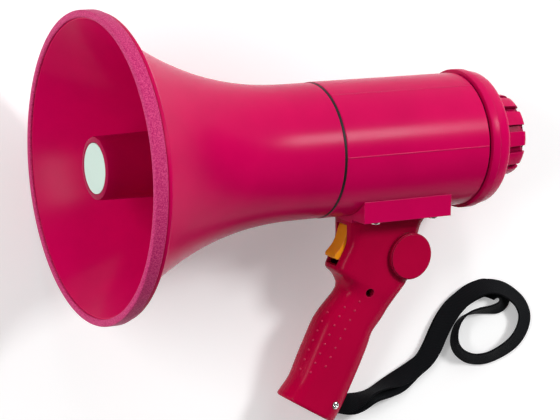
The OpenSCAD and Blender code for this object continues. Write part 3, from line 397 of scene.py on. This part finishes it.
def speckled(name, colour, other, scale, roughness, bump=0.1, gloss=0.5):
    """A plain technical finish whose colour and gloss vary in fine specks."""
    finish = Finish(name)
    specks = finish.noise(finish.coords(), scale, detail=4, rough=0.6)
    finish.colour(finish.blend(finish.span(specks, 0, 1), colour, other))
    finish.rough(finish.span(specks, *(roughness + difference for difference in SPECK_GLOSS)))
    finish.normal(finish.bump(specks, bump, SPECK_DEPTH, finish.rounding(SMALL_EDGE)))
    finish.set(Specular_IOR_Level=gloss)
    return finish


def woven_nylon(colour):
    """Black woven webbing: ribs across and rows along it at a fixed pitch, fuzz and a little sheen."""
    finish = Finish("woven_nylon")
    uv = finish.node("ShaderNodeUVMap", uv_map="weave")
    split = finish.node("ShaderNodeSeparateXYZ")
    finish.link(uv.outputs["UV"], split.inputs["Vector"])
    warp = finish.maths("MULTIPLY", split.outputs["Y"], 2 * math.pi / WARP_PITCH)
    weft = finish.maths("MULTIPLY", split.outputs["X"], 2 * math.pi / WEFT_PITCH)
    shifted = finish.maths("ADD", weft, finish.maths("MULTIPLY", warp, 0.5))
    ribs = finish.maths("MULTIPLY", finish.maths("SINE", warp), finish.maths("SINE", shifted))
    fuzz = finish.noise(finish.coords(), FUZZ_SCALE, detail=3, rough=0.65)
    height = finish.maths("ADD", ribs, finish.maths("MULTIPLY", fuzz, 0.5))
    # The weave's tone follows its height: painted shade in the valleys and painted highlight on the ribs,
    # with random fuzz
    tone = finish.span(height, 0, 1, start=-0.8, end=1.2)
    finish.colour(finish.blend(tone, *shades(colour, WEBBING_PAINTED_SHADES)))
    finish.rough(finish.span(fuzz, *FUZZ_ROUGHNESS))
    finish.normal(finish.bump(height, WEAVE_STRENGTH, WEAVE_DEPTH))
    finish.set(Specular_IOR_Level=WEBBING_SPECULAR, Sheen_Weight=0.03, Sheen_Roughness=0.4)
    finish.set(Sheen_Tint=(0.5, 0.56, 0.62, 1))
    return finish


def dress(finish, *names):
    """The finish on CAD nodes, in place of what they came with."""
    for name in names:
        made = bpy.data.objects[name]
        made.data.materials.clear()
        made.data.materials.append(finish.material)


# Geometry Nodes


class NodeTree:
    """A Geometry Nodes tree that is built step by step, with named inputs."""

    def __init__(self, name, **inputs):
        self.group = bpy.data.node_groups.new(name, "GeometryNodeTree")
        sockets = self.group.interface
        sockets.new_socket("Geometry", in_out="INPUT", socket_type="NodeSocketGeometry")
        for label, kind in inputs.items():
            sockets.new_socket(label.replace("_", " "), in_out="INPUT", socket_type="NodeSocket" + kind)
        sockets.new_socket("Geometry", in_out="OUTPUT", socket_type="NodeSocketGeometry")
        self.inputs = self.group.nodes.new("NodeGroupInput").outputs
        self.end = self.group.nodes.new("NodeGroupOutput").inputs["Geometry"]

    def link(self, a, b):
        self.group.links.new(a, b)

    def node(self, kind, links=(), **settings):
        """A node whose inputs take other nodes' outputs or plain values."""
        made = self.group.nodes.new(kind)
        made.location = (220 * (len(self.group.nodes) % 8), -180 * (len(self.group.nodes) // 8))
        for key, value in settings.items():
            setattr(made, key, value)
        for key, value in dict(links).items():
            if hasattr(value, "is_output"):
                self.link(value, made.inputs[key])
            else:
                made.inputs[key].default_value = value
        return made

    def maths(self, operation, a, b=0.0):
        return self.node("ShaderNodeMath", {0: a, 1: b}, operation=operation).outputs[0]

    def scaled(self, vector, factor):
        return self.node("ShaderNodeVectorMath", {0: vector, "Scale": factor}, operation="SCALE").outputs[0]

    def added(self, first, *others):
        for other in others:
            first = self.node("ShaderNodeVectorMath", {0: first, 1: other}, operation="ADD").outputs[0]
        return first


def grow(thing, group, **values):
    """A Geometry Nodes modifier on an object, with the tree's named inputs set by their identifiers."""
    growth = thing.modifiers.new(group.name, "NODES")
    growth.node_group = group
    sockets = {item.name: item.identifier for item in group.interface.items_tree if item.in_out == "INPUT"}
    for label, value in values.items():
        growth[sockets[label.replace("_", " ")]] = value


# Shading of the CAD shells

# Distance in metres at which the corners of loose triangles are joined
JOINING = 0.000004


def soft_shading_tree():
    """Joins the loose triangles and shades them smooth where they meet at less than the crease angle."""
    tree = NodeTree("soft_shading", Crease_angle="Float")
    joined = tree.node("GeometryNodeMergeByDistance", {
        "Geometry": tree.inputs["Geometry"], "Distance": JOINING}).outputs["Geometry"]
    angle = tree.node("GeometryNodeInputMeshEdgeAngle").outputs["Unsigned Angle"]
    sharp = tree.node("FunctionNodeCompare", {0: angle, 1: tree.inputs["Crease angle"]},
                      data_type="FLOAT", operation="GREATER_THAN").outputs["Result"]
    normals = tree.node("GeometryNodeSetMeshNormal", {
        "Mesh": joined, "Remove Custom": True, "Edge Sharpness": sharp}, mode="SHARPNESS")
    tree.link(normals.outputs["Mesh"], tree.end)
    return tree.group


def soften(names, degrees):
    """Soft shading on CAD nodes, with creases from an angle on."""
    group = bpy.data.node_groups.get("soft_shading") or soft_shading_tree()
    for name in names:
        grow(NODES[name], group, Crease_angle=math.radians(degrees))


# Strap

# Half of the webbing's cross-section with its thicker edges: shares of the width across, of the thickness up
WEBBING_HALF = (
    (-0.5, 0.0), (-0.492, 0.34), (-0.47, 0.5), (-0.44, 0.47), (-0.4, 0.44), (-0.2, 0.44), (0.0, 0.44),
    (0.2, 0.44), (0.4, 0.44), (0.44, 0.47), (0.47, 0.5), (0.492, 0.34),
)


def smooth_between(rows, i, t):
    """Catmull-Rom curve through rows of numbers, as the part's source draws it."""
    last = len(rows) - 1
    near = (rows[max(0, min(last, i + k))] for k in (-1, 0, 1, 2))
    return [0.5 * (2 * q + (r - p) * t + (2 * p - 5 * q + 4 * r - s) * t * t
                   + (3 * q - p - 3 * r + s) * t ** 3)
            for p, q, r, s in zip(*near)]


def handle_at(run, reach, y):
    """A point of the leaning handle, run millimetres down its line and reach behind it, in metres."""
    x = HANDLE_X - run * math.sin(LEAN) + reach * math.cos(LEAN)
    z = HANDLE_Z - run * math.cos(LEAN) - reach * math.sin(LEAN)
    return lie(GRIP_X + x, y, GRIP_TOP + z)


def strap_path(rings):
    """Points and twists of the whole strap, from one end at its screw round to the other."""
    out = [(*handle_at(STRAP_DOWN - rise, reach, -STRAP_LAY), STRAP_TILT) for reach, rise in STRAP_ENDS]
    back = [(*handle_at(STRAP_DOWN - rise, reach, STRAP_LAY), 180 - STRAP_TILT)
            for reach, rise in reversed(STRAP_ENDS)]
    rows = [*out, *STRAP_FLOOR, *back]
    path = []
    for n in range(rings + 1):
        k = n * (len(rows) - 1) / rings
        i = min(int(k), len(rows) - 2)
        path.append(smooth_between(rows, i, k - i))
    return path


def webbing_directions(points, i, twist):
    """Across the webbing and up from it at one point of its path."""
    ahead = points[min(len(points) - 1, i + 1)] - points[max(0, i - 1)]
    ahead.normalize()
    level = ahead.cross(Vector((0, 0, 1))).normalized()
    rise = level.cross(ahead)
    a = math.radians(twist)
    return math.cos(a) * level + math.sin(a) * rise, math.cos(a) * rise - math.sin(a) * level


def webbing_mesh(name, path, width, thickness):
    """Closed loft of the webbing along its path, with a map that runs along and across it in metres."""
    points = [Vector(p[:3]) for p in path]
    half = [(a * width, b * thickness) for a, b in WEBBING_HALF]
    section = half + [(-a, -b) for a, b in half]
    count = len(section)
    verts, along, run = [], [], 0.0
    for i, p in enumerate(points):
        across, up = webbing_directions(points, i, path[i][3])
        if i:
            run += (p - points[i - 1]).length
        along.append(run)
        verts.extend(p + across * s + up * h for s, h in section)
    faces = []
    last = (len(points) - 1) * count
    for base in range(0, last, count):
        for j in range(count):
            k = (j + 1) % count
            faces.append((base + j, base + k, base + count + k, base + count + j))
    for base, way in ((0, -1), (last, 1)):
        for j in range(len(half)):
            corners = dict.fromkeys((j, j + 1, count - 1 - j, (count - j) % count))
            faces.append([base + k for k in corners][::way])
    mesh = bpy.data.meshes.new(name)
    mesh.from_pydata(verts, [], faces)
    layer = mesh.uv_layers.new(name="weave")
    for loop in mesh.loops:
        ring, place = divmod(loop.vertex_index, count)
        layer.data[loop.index].uv = (along[ring], section[place][0])
    mesh.validate()
    work = bmesh.new()
    work.from_mesh(mesh)
    bmesh.ops.recalc_face_normals(work, faces=work.faces)
    work.to_mesh(mesh)
    work.free()
    for face in mesh.polygons:
        face.use_smooth = True
    return mesh, run


def add_piece(name, mesh):
    """A new piece on the housing."""
    piece = bpy.data.objects.new(name, mesh)
    bpy.context.scene.collection.objects.link(piece)
    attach(piece, "housing")
    return piece


class MEGAPHONE_OT_strap(bpy.types.Operator):
    """Lays the webbing wrist strap along its route on the floor"""

    bl_idname = "megaphone.strap"
    bl_label = "Wrist strap"

    def execute(self, context):
        sizes, looks = context.scene.megaphone_sizes, context.scene.megaphone_looks
        path = strap_path(sizes.strap_rings)
        mesh, length = webbing_mesh("strap_webbing", path, sizes.strap_width, sizes.strap_thickness)
        mesh.materials.append(woven_nylon(looks.webbing_colour).material)
        strap = add_piece("strap_webbing", mesh)
        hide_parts("strap")
        return {"FINISHED"}


class MEGAPHONE_OT_shells(bpy.types.Operator):
    """Gives the moulded red shells their gloss and the rim its rough texture"""

    bl_idname = "megaphone.shells"
    bl_label = "Red shells"

    def execute(self, context):
        looks = context.scene.megaphone_looks
        red, grip_shaded_red = tuple(looks.shell_colour), tuple(looks.grip_shaded_colour)
        gloss, edge = looks.shell_roughness, looks.edge_round
        dress(moulded_plastic("shell_gloss", red, gloss, edge), "bell", "rear_body", "saddle")
        # On the cover and the grip, deep gaps and corners get painted shade
        dress(moulded_plastic("cover_gloss", red, gloss, edge, gaps=GAP_REACH), "rear_cover")
        # The grip's red is a darker copy of the shell red: painted shade
        dress(moulded_plastic("grip_gloss", grip_shaded_red, gloss, edge, gaps=GAP_REACH), "grip_left", "grip_right")
        # The plug is the shell red made darker: painted shade
        dress(moulded_plastic("plug_gloss_painted_shade", shaded(red, PLUG_PAINTED_SHADE), gloss, edge), "reflector_cup")
        rim = tuple(looks.rim_colour)
        dress(moulded_plastic("rim_spark", rim, RIM_ROUGHNESS, edge, grain=RIM_GRAIN), "rim_ring")
        soften(["bell", "rim_ring", "reflector_cup", "rear_body", "rear_cover", "saddle"], degrees=32)
        soften(["grip_left", "grip_right"], degrees=38)
        return {"FINISHED"}


# Pips on the handle

# Pips along each lane and lanes in all, half of them on each side of the handle's front line
PIP_ROWS, PIP_LANES = 9, 6
# Angle of the first lane from the front line, and the shift from one lane to the next in pitches
PIP_FIRST_LANE = math.radians(15)
PIP_SHIFT = 0.17
# First and last place on the handle's slanting field of pips, counted in pitches
PIP_FIELD = (-0.5, 7.5)
# Length in metres of the rays that find the surface, and height of a pip as a share of its radius
PIP_RAY = 0.045
PIP_HEIGHT = 0.5
# Where the lanes start, down the handle's line and behind it, in millimetres
PIP_START = (15.5, -1)


def pip_tree():
    """Lanes of pips: rays from a grid round the handle find its surface, and a low dome sits on each hit."""
    tree = NodeTree("grip_pips", Left="Object", Right="Object", Start="Vector", Along="Vector",
                    Front="Vector", Side="Vector", Pitch="Float", Lane_angle="Float", Radius="Float",
                    Finish="Material")
    given = tree.inputs
    grid = tree.node("GeometryNodeMeshGrid", {
        "Size X": PIP_ROWS - 1.0, "Size Y": PIP_LANES - 1.0, "Vertices X": PIP_ROWS, "Vertices Y": PIP_LANES})
    cell = tree.node("ShaderNodeSeparateXYZ", {0: tree.node("GeometryNodeInputPosition").outputs[0]}).outputs
    row = tree.maths("ADD", cell["X"], (PIP_ROWS - 1) / 2)
    lane = tree.maths("SUBTRACT", tree.maths("ABSOLUTE", cell["Y"]), 0.5)
    step = tree.maths("SUBTRACT", PIP_LANES / 2 - 1, lane)
    turn = tree.maths("ADD", tree.maths("MULTIPLY", lane, given["Lane angle"]), PIP_FIRST_LANE)
    shifted = tree.maths("ADD", row, tree.maths("MULTIPLY", step, PIP_SHIFT))
    run = tree.maths("MULTIPLY", shifted, given["Pitch"])
    sideways = tree.maths("MULTIPLY", tree.maths("SINE", turn), tree.maths("SIGN", cell["Y"]))
    forward = tree.scaled(given["Front"], tree.maths("COSINE", turn))
    out = tree.added(forward, tree.scaled(given["Side"], sideways))
    source = tree.added(given["Start"], tree.scaled(given["Along"], run), tree.scaled(out, PIP_RAY))
    halves = tree.node("GeometryNodeJoinGeometry")
    for name in ("Right", "Left"):
        half = tree.node("GeometryNodeObjectInfo", {"Object": given[name]})
        tree.link(half.outputs["Geometry"], halves.inputs[0])
    ray = tree.node("GeometryNodeRaycast", {
        "Target Geometry": halves.outputs[0], "Source Position": source,
        "Ray Direction": tree.scaled(out, -1.0), "Ray Length": PIP_RAY})
    place = tree.maths("SUBTRACT", row, step)
    outside = tree.maths("MAXIMUM", tree.maths("LESS_THAN", place, PIP_FIELD[0]),
                         tree.maths("GREATER_THAN", place, PIP_FIELD[1]))
    missed = tree.maths("SUBTRACT", 1.0, ray.outputs["Is Hit"])
    kept = tree.node("GeometryNodeStoreNamedAttribute", {
        "Geometry": grid.outputs["Mesh"], "Name": "outward", "Value": ray.outputs["Hit Normal"]},
        data_type="FLOAT_VECTOR")
    marked = tree.node("GeometryNodeStoreNamedAttribute", {
        "Geometry": kept.outputs["Geometry"], "Name": "dropped",
        "Value": tree.maths("MAXIMUM", outside, missed)}, data_type="FLOAT")
    moved = tree.node("GeometryNodeSetPosition", {
        "Geometry": marked.outputs["Geometry"], "Position": ray.outputs["Hit Position"]})
    dropped = tree.node("GeometryNodeInputNamedAttribute", {"Name": "dropped"}, data_type="FLOAT")
    trimmed = tree.node("GeometryNodeDeleteGeometry", {
        "Geometry": moved.outputs["Geometry"], "Selection": dropped.outputs["Attribute"]})
    dome = tree.node("GeometryNodeMeshUVSphere", {"Segments": 12, "Rings": 6, "Radius": given["Radius"]})
    low = tree.node("GeometryNodeTransform", {
        "Geometry": dome.outputs["Mesh"], "Scale": (1.0, 1.0, PIP_HEIGHT)})
    outward = tree.node("GeometryNodeInputNamedAttribute", {"Name": "outward"}, data_type="FLOAT_VECTOR")
    aim = tree.node("FunctionNodeAlignRotationToVector", {"Vector": outward.outputs["Attribute"]}, axis="Z")
    placed = tree.node("GeometryNodeInstanceOnPoints", {
        "Points": trimmed.outputs["Geometry"], "Instance": low.outputs["Geometry"],
        "Rotation": aim.outputs["Rotation"]})
    real = tree.node("GeometryNodeRealizeInstances", {"Geometry": placed.outputs["Instances"]})
    smooth = tree.node("GeometryNodeSetShadeSmooth", {"Geometry": real.outputs["Geometry"]})
    done = tree.node("GeometryNodeSetMaterial", {
        "Geometry": smooth.outputs["Geometry"], "Material": given["Finish"]})
    tree.link(done.outputs["Geometry"], tree.end)
    return tree.group


def grown(name, group, **values):
    """A plain mesh from a Geometry Nodes tree with its named inputs set."""
    maker = bpy.data.objects.new(name, bpy.data.meshes.new(name))
    bpy.context.scene.collection.objects.link(maker)
    grow(maker, group, **values)
    ready = maker.evaluated_get(bpy.context.evaluated_depsgraph_get())
    mesh = bpy.data.meshes.new_from_object(ready)
    mesh.name = name
    bpy.data.objects.remove(maker)
    if not mesh.polygons:
        raise RuntimeError(name + " came out empty")
    return mesh


def turned(x, y, z):
    """A direction of the horn's own frame as it lies on the floor."""
    return tuple((lie(x, y, z) - lie(0, 0, 0)).normalized())


class MEGAPHONE_OT_pips(bpy.types.Operator):
    """Sets the lanes of moulded pips on the handle, on both sides of its front line"""

    bl_idname = "megaphone.pips"
    bl_label = "Grip pips"

    def execute(self, context):
        sizes, looks = context.scene.megaphone_sizes, context.scene.megaphone_looks
        # Paler pips: painted highlight on their domes, with some rubbing
        pip_highlight_and_wear = tinted(looks.grip_shaded_colour, PIP_HIGHLIGHT_AND_WEAR_TINT, PIP_HIGHLIGHT_AND_WEAR_SHARE)
        tips = moulded_plastic("pips_painted_highlight_and_wear", pip_highlight_and_wear, PIP_ROUGHNESS, PIP_EDGE)
        mesh = grown("grip_pips", pip_tree(), Left=NODES["grip_left"], Right=NODES["grip_right"],
                     Start=tuple(handle_at(*PIP_START, 0)),
                     Along=turned(-math.sin(LEAN), 0, -math.cos(LEAN)),
                     Front=turned(-math.cos(LEAN), 0, math.sin(LEAN)), Side=tuple(SIDE),
                     Pitch=sizes.pip_pitch, Lane_angle=sizes.pip_turn, Radius=sizes.pip_radius,
                     Finish=tips.material)
        add_piece("grip_pips", mesh)
        return {"FINISHED"}


class MEGAPHONE_OT_details(bpy.types.Operator):
    """Finishes the badge, the trigger, the rubber rings and the screws"""

    bl_idname = "megaphone.details"
    bl_label = "Trigger, badge, rings and screws"

    def execute(self, context):
        looks = context.scene.megaphone_looks
        orange, pale = tuple(looks.trigger_colour), tuple(looks.badge_colour)
        dress(moulded_plastic("trigger_orange", orange, TRIGGER_ROUGHNESS, TRIGGER_EDGE), "trigger")
        dress(speckled("badge_satin", shaded(pale, 0.985), pale, 90, 0.38, bump=0.0), "badge_disc")
        dress(speckled("black_rubber", (0.006, 0.006, 0.007), (0.014, 0.013, 0.014), 700, 0.5, gloss=0.2),
              "seam_gasket", "cover_seal", "mic_boot")
        dress(plain_metal("bright_screws", (0.8, 0.8, 0.79), 0.16), "saddle_screws", "strap_screw")
        dress(plain_metal("blackened_screw", (0.02, 0.02, 0.02), 0.4), "grip_screw")
        dress(plain_metal("hidden_screws", (0.5, 0.5, 0.5), 0.3), "grip_bolts", "trigger_pin", "volume_shaft")
        soften(["badge_disc", "trigger", "seam_gasket", "cover_seal", "saddle_screws", "strap_screw"],
               degrees=30)
        return {"FINISHED"}


class MEGAPHONE_OT_inside(bpy.types.Operator):
    """Finishes the driver, the electronics, the batteries and the controls inside"""

    bl_idname = "megaphone.inside"
    bl_label = "Inside pieces"

    def execute(self, context):
        dress(speckled("black_moulding", (0.012, 0.012, 0.013), (0.022, 0.022, 0.024), 500, 0.42),
              "tone_tube", "throat_plate", "battery_holder", "volume_wheel", "talk_switch", "mic_grille")
        dress(plain_metal("driver_steel", (0.42, 0.43, 0.45), 0.34),
              "driver_front", "driver_yoke", "driver_cap")
        dress(speckled("ferrite", (0.02, 0.02, 0.022), (0.04, 0.04, 0.042), 900, 0.7, bump=0.3),
              "driver_magnet")
        dress(speckled("diaphragm_film", (0.5, 0.36, 0.14), (0.58, 0.44, 0.2), 300, 0.3), "diaphragm")
        dress(plain_metal("copper_winding", (0.72, 0.3, 0.12), 0.28, brushed=0.6, scale=(2600, 30, 30)),
              "voice_coil")
        dress(speckled("board_green", (0.01, 0.11, 0.045), (0.016, 0.16, 0.06), 260, 0.36), "amplifier_board")
        dress(speckled("component_black", (0.012, 0.012, 0.016), (0.05, 0.05, 0.06), 150, 0.4), "board_parts")
        dress(speckled("cell_jacket", (0.42, 0.27, 0.05), (0.5, 0.33, 0.07), 120, 0.26, bump=0.05),
              "battery_cells")
        dress(plain_metal("spring_plate", (0.74, 0.74, 0.72), 0.2),
              "battery_contacts", "mic_capsule", "volume_pot")
        dress(speckled("plunger_cream", (0.66, 0.62, 0.5), (0.74, 0.7, 0.58), 400, 0.4), "switch_plunger")
        dress(speckled("wire_sleeve", (0.012, 0.012, 0.012), (0.02, 0.02, 0.02), 600, 0.45), "wire_loom")
        soften(["wire_loom"], degrees=60)
        return {"FINISHED"}


# Stage

# The camera's place in metres, its three directions and its lens in millimetres, fitted to the photograph
CAMERA_AT = (-0.46121, -0.0785, 1.45189)
CAMERA_RIGHT = (0.946234, -0.128613, 0.296816)
CAMERA_UP = (0.105298, 0.990053, 0.093314)
CAMERA_BACK = (-0.305865, -0.057044, 0.950365)
CAMERA_LENS = 134.298
CAMERA_SENSOR = 36
CAMERA_CLIP = (0.05, 20)
# Half the side of the floor in metres, its two tones, and the light that makes it white in view
FLOOR_HALF = 6.0
FLOOR_TONES = ((0.86, 0.86, 0.86), (0.88, 0.88, 0.88))
FLOOR_WHITE = 0.28
WORLD_STRENGTH = 0.06
# Point that the lamps look at
SUBJECT = Vector((-0.01, 0.03, 0.06))
# Lamps: name, direction from that point, distance and size in metres, and power in watts
LAMPS = (
    ("top_box", (0.5, 0.72, 0.55), 1.7, (2.6, 2.4), 20),
    ("fill_box", (0.6, -0.4, 0.75), 1.8, (1.4, 1.8), 1.5),
    ("gloss_box", (0.66, 0.19, 0.74), 1.5, (0.3, 0.3), 11),
    ("mouth_box", (-0.94, 0.12, 0.28), 1.4, (1.0, 0.5), 6),
    ("edge_box", (-0.66, 0.05, 0.7), 1.5, (0.8, 0.2), 7),
)


def softbox(name, toward, distance, size, watts):
    """A rectangular studio light that looks at the part."""
    light = bpy.data.lights.new(name, "AREA")
    light.shape = "RECTANGLE"
    light.size, light.size_y = size
    light.energy = watts
    lamp = bpy.data.objects.new(name, light)
    bpy.context.scene.collection.objects.link(lamp)
    direction = Vector(toward).normalized()
    lamp.location = SUBJECT + direction * distance
    lamp.rotation_euler = (-direction).to_track_quat("-Z", "Y").to_euler()


def studio_camera(scene):
    """The camera at the photograph's viewing angle."""
    data = bpy.data.cameras.new("studio_camera")
    data.sensor_width = CAMERA_SENSOR
    data.lens = CAMERA_LENS
    data.clip_start, data.clip_end = CAMERA_CLIP
    camera = bpy.data.objects.new("studio_camera", data)
    scene.collection.objects.link(camera)
    turn = Matrix((CAMERA_RIGHT, CAMERA_UP, CAMERA_BACK)).transposed()
    camera.matrix_world = Matrix.Translation(CAMERA_AT) @ turn.to_4x4()
    scene.camera = camera


def pale_paper():
    """Pale paper that is white to the camera and in reflections, and still takes the object's shadow."""
    paper = Finish("pale_floor")
    paper.set(Roughness=0.9, Specular_IOR_Level=0.1, Emission_Color=(1, 1, 1, 1))
    tone = paper.noise(paper.coords(), 3.0, detail=2, rough=0.5)
    paper.colour(paper.blend(paper.span(tone, 0, 1), *FLOOR_TONES))
    path = paper.node("ShaderNodeLightPath").outputs
    seen = paper.maths("MAXIMUM", path["Is Camera Ray"], path["Is Glossy Ray"])
    seen = paper.maths("MAXIMUM", seen, path["Is Transmission Ray"])
    paper.link(paper.maths("MULTIPLY", seen, FLOOR_WHITE), paper.shader.inputs["Emission Strength"])
    return paper


def studio_floor(scene):
    """The floor that the part lies on, which isn't part of the object."""
    mesh = bpy.data.meshes.new("floor")
    corners = [(x * FLOOR_HALF, y * FLOOR_HALF, 0.0) for x, y in ((-1, -1), (1, -1), (1, 1), (-1, 1))]
    mesh.from_pydata(corners, [], [(0, 1, 2, 3)])
    mesh.materials.append(pale_paper().material)
    floor = bpy.data.objects.new("floor", mesh)
    scene.collection.objects.link(floor)


def studio_world(scene):
    """A faint even light from all around."""
    world = bpy.data.worlds.new("studio_world")
    scene.world = world
    world.use_nodes = True
    back = world.node_tree.nodes["Background"]
    back.inputs["Color"].default_value = (1, 1, 1, 1)
    back.inputs["Strength"].default_value = WORLD_STRENGTH


class MEGAPHONE_OT_stage(bpy.types.Operator):
    """Sets the camera at the photograph's angle over a pale floor in soft studio light"""

    bl_idname = "megaphone.stage"
    bl_label = "Camera, floor and light"

    def execute(self, context):
        context.scene.view_settings.view_transform = "Standard"
        studio_camera(context.scene)
        studio_floor(context.scene)
        studio_world(context.scene)
        for lamp in LAMPS:
            softbox(*lamp)
        return {"FINISHED"}


class MEGAPHONE_PT_panel(bpy.types.Panel):
    """Lists the steps that dress the megaphone"""

    bl_idname = "MEGAPHONE_PT_panel"
    bl_label = "Megaphone"
    bl_space_type = "VIEW_3D"
    bl_region_type = "UI"
    bl_category = "Megaphone"

    def draw(self, context):
        layout = self.layout
        for group in (context.scene.megaphone_looks, context.scene.megaphone_sizes):
            for key in group.__annotations__:
                layout.prop(group, key)
        for step in STEPS:
            layout.operator(step.bl_idname)


STEPS = (
    MEGAPHONE_OT_stage, MEGAPHONE_OT_strap, MEGAPHONE_OT_shells, MEGAPHONE_OT_pips, MEGAPHONE_OT_details,
    MEGAPHONE_OT_inside,
)
CLASSES = (MegaphoneLooks, MegaphoneSizes, *STEPS, MEGAPHONE_PT_panel)


def register():
    for cls in CLASSES:
        bpy.utils.register_class(cls)
    bpy.types.Scene.megaphone_looks = PointerProperty(type=MegaphoneLooks)
    bpy.types.Scene.megaphone_sizes = PointerProperty(type=MegaphoneSizes)


def unregister():
    del bpy.types.Scene.megaphone_sizes
    del bpy.types.Scene.megaphone_looks
    for cls in reversed(CLASSES):
        bpy.utils.unregister_class(cls)


def main():
    register()
    bpy.ops.megaphone.stage()
    bpy.ops.megaphone.strap()
    bpy.ops.megaphone.shells()
    bpy.ops.megaphone.pips()
    bpy.ops.megaphone.details()
    bpy.ops.megaphone.inside()


if __name__ == "__main__":
    main()
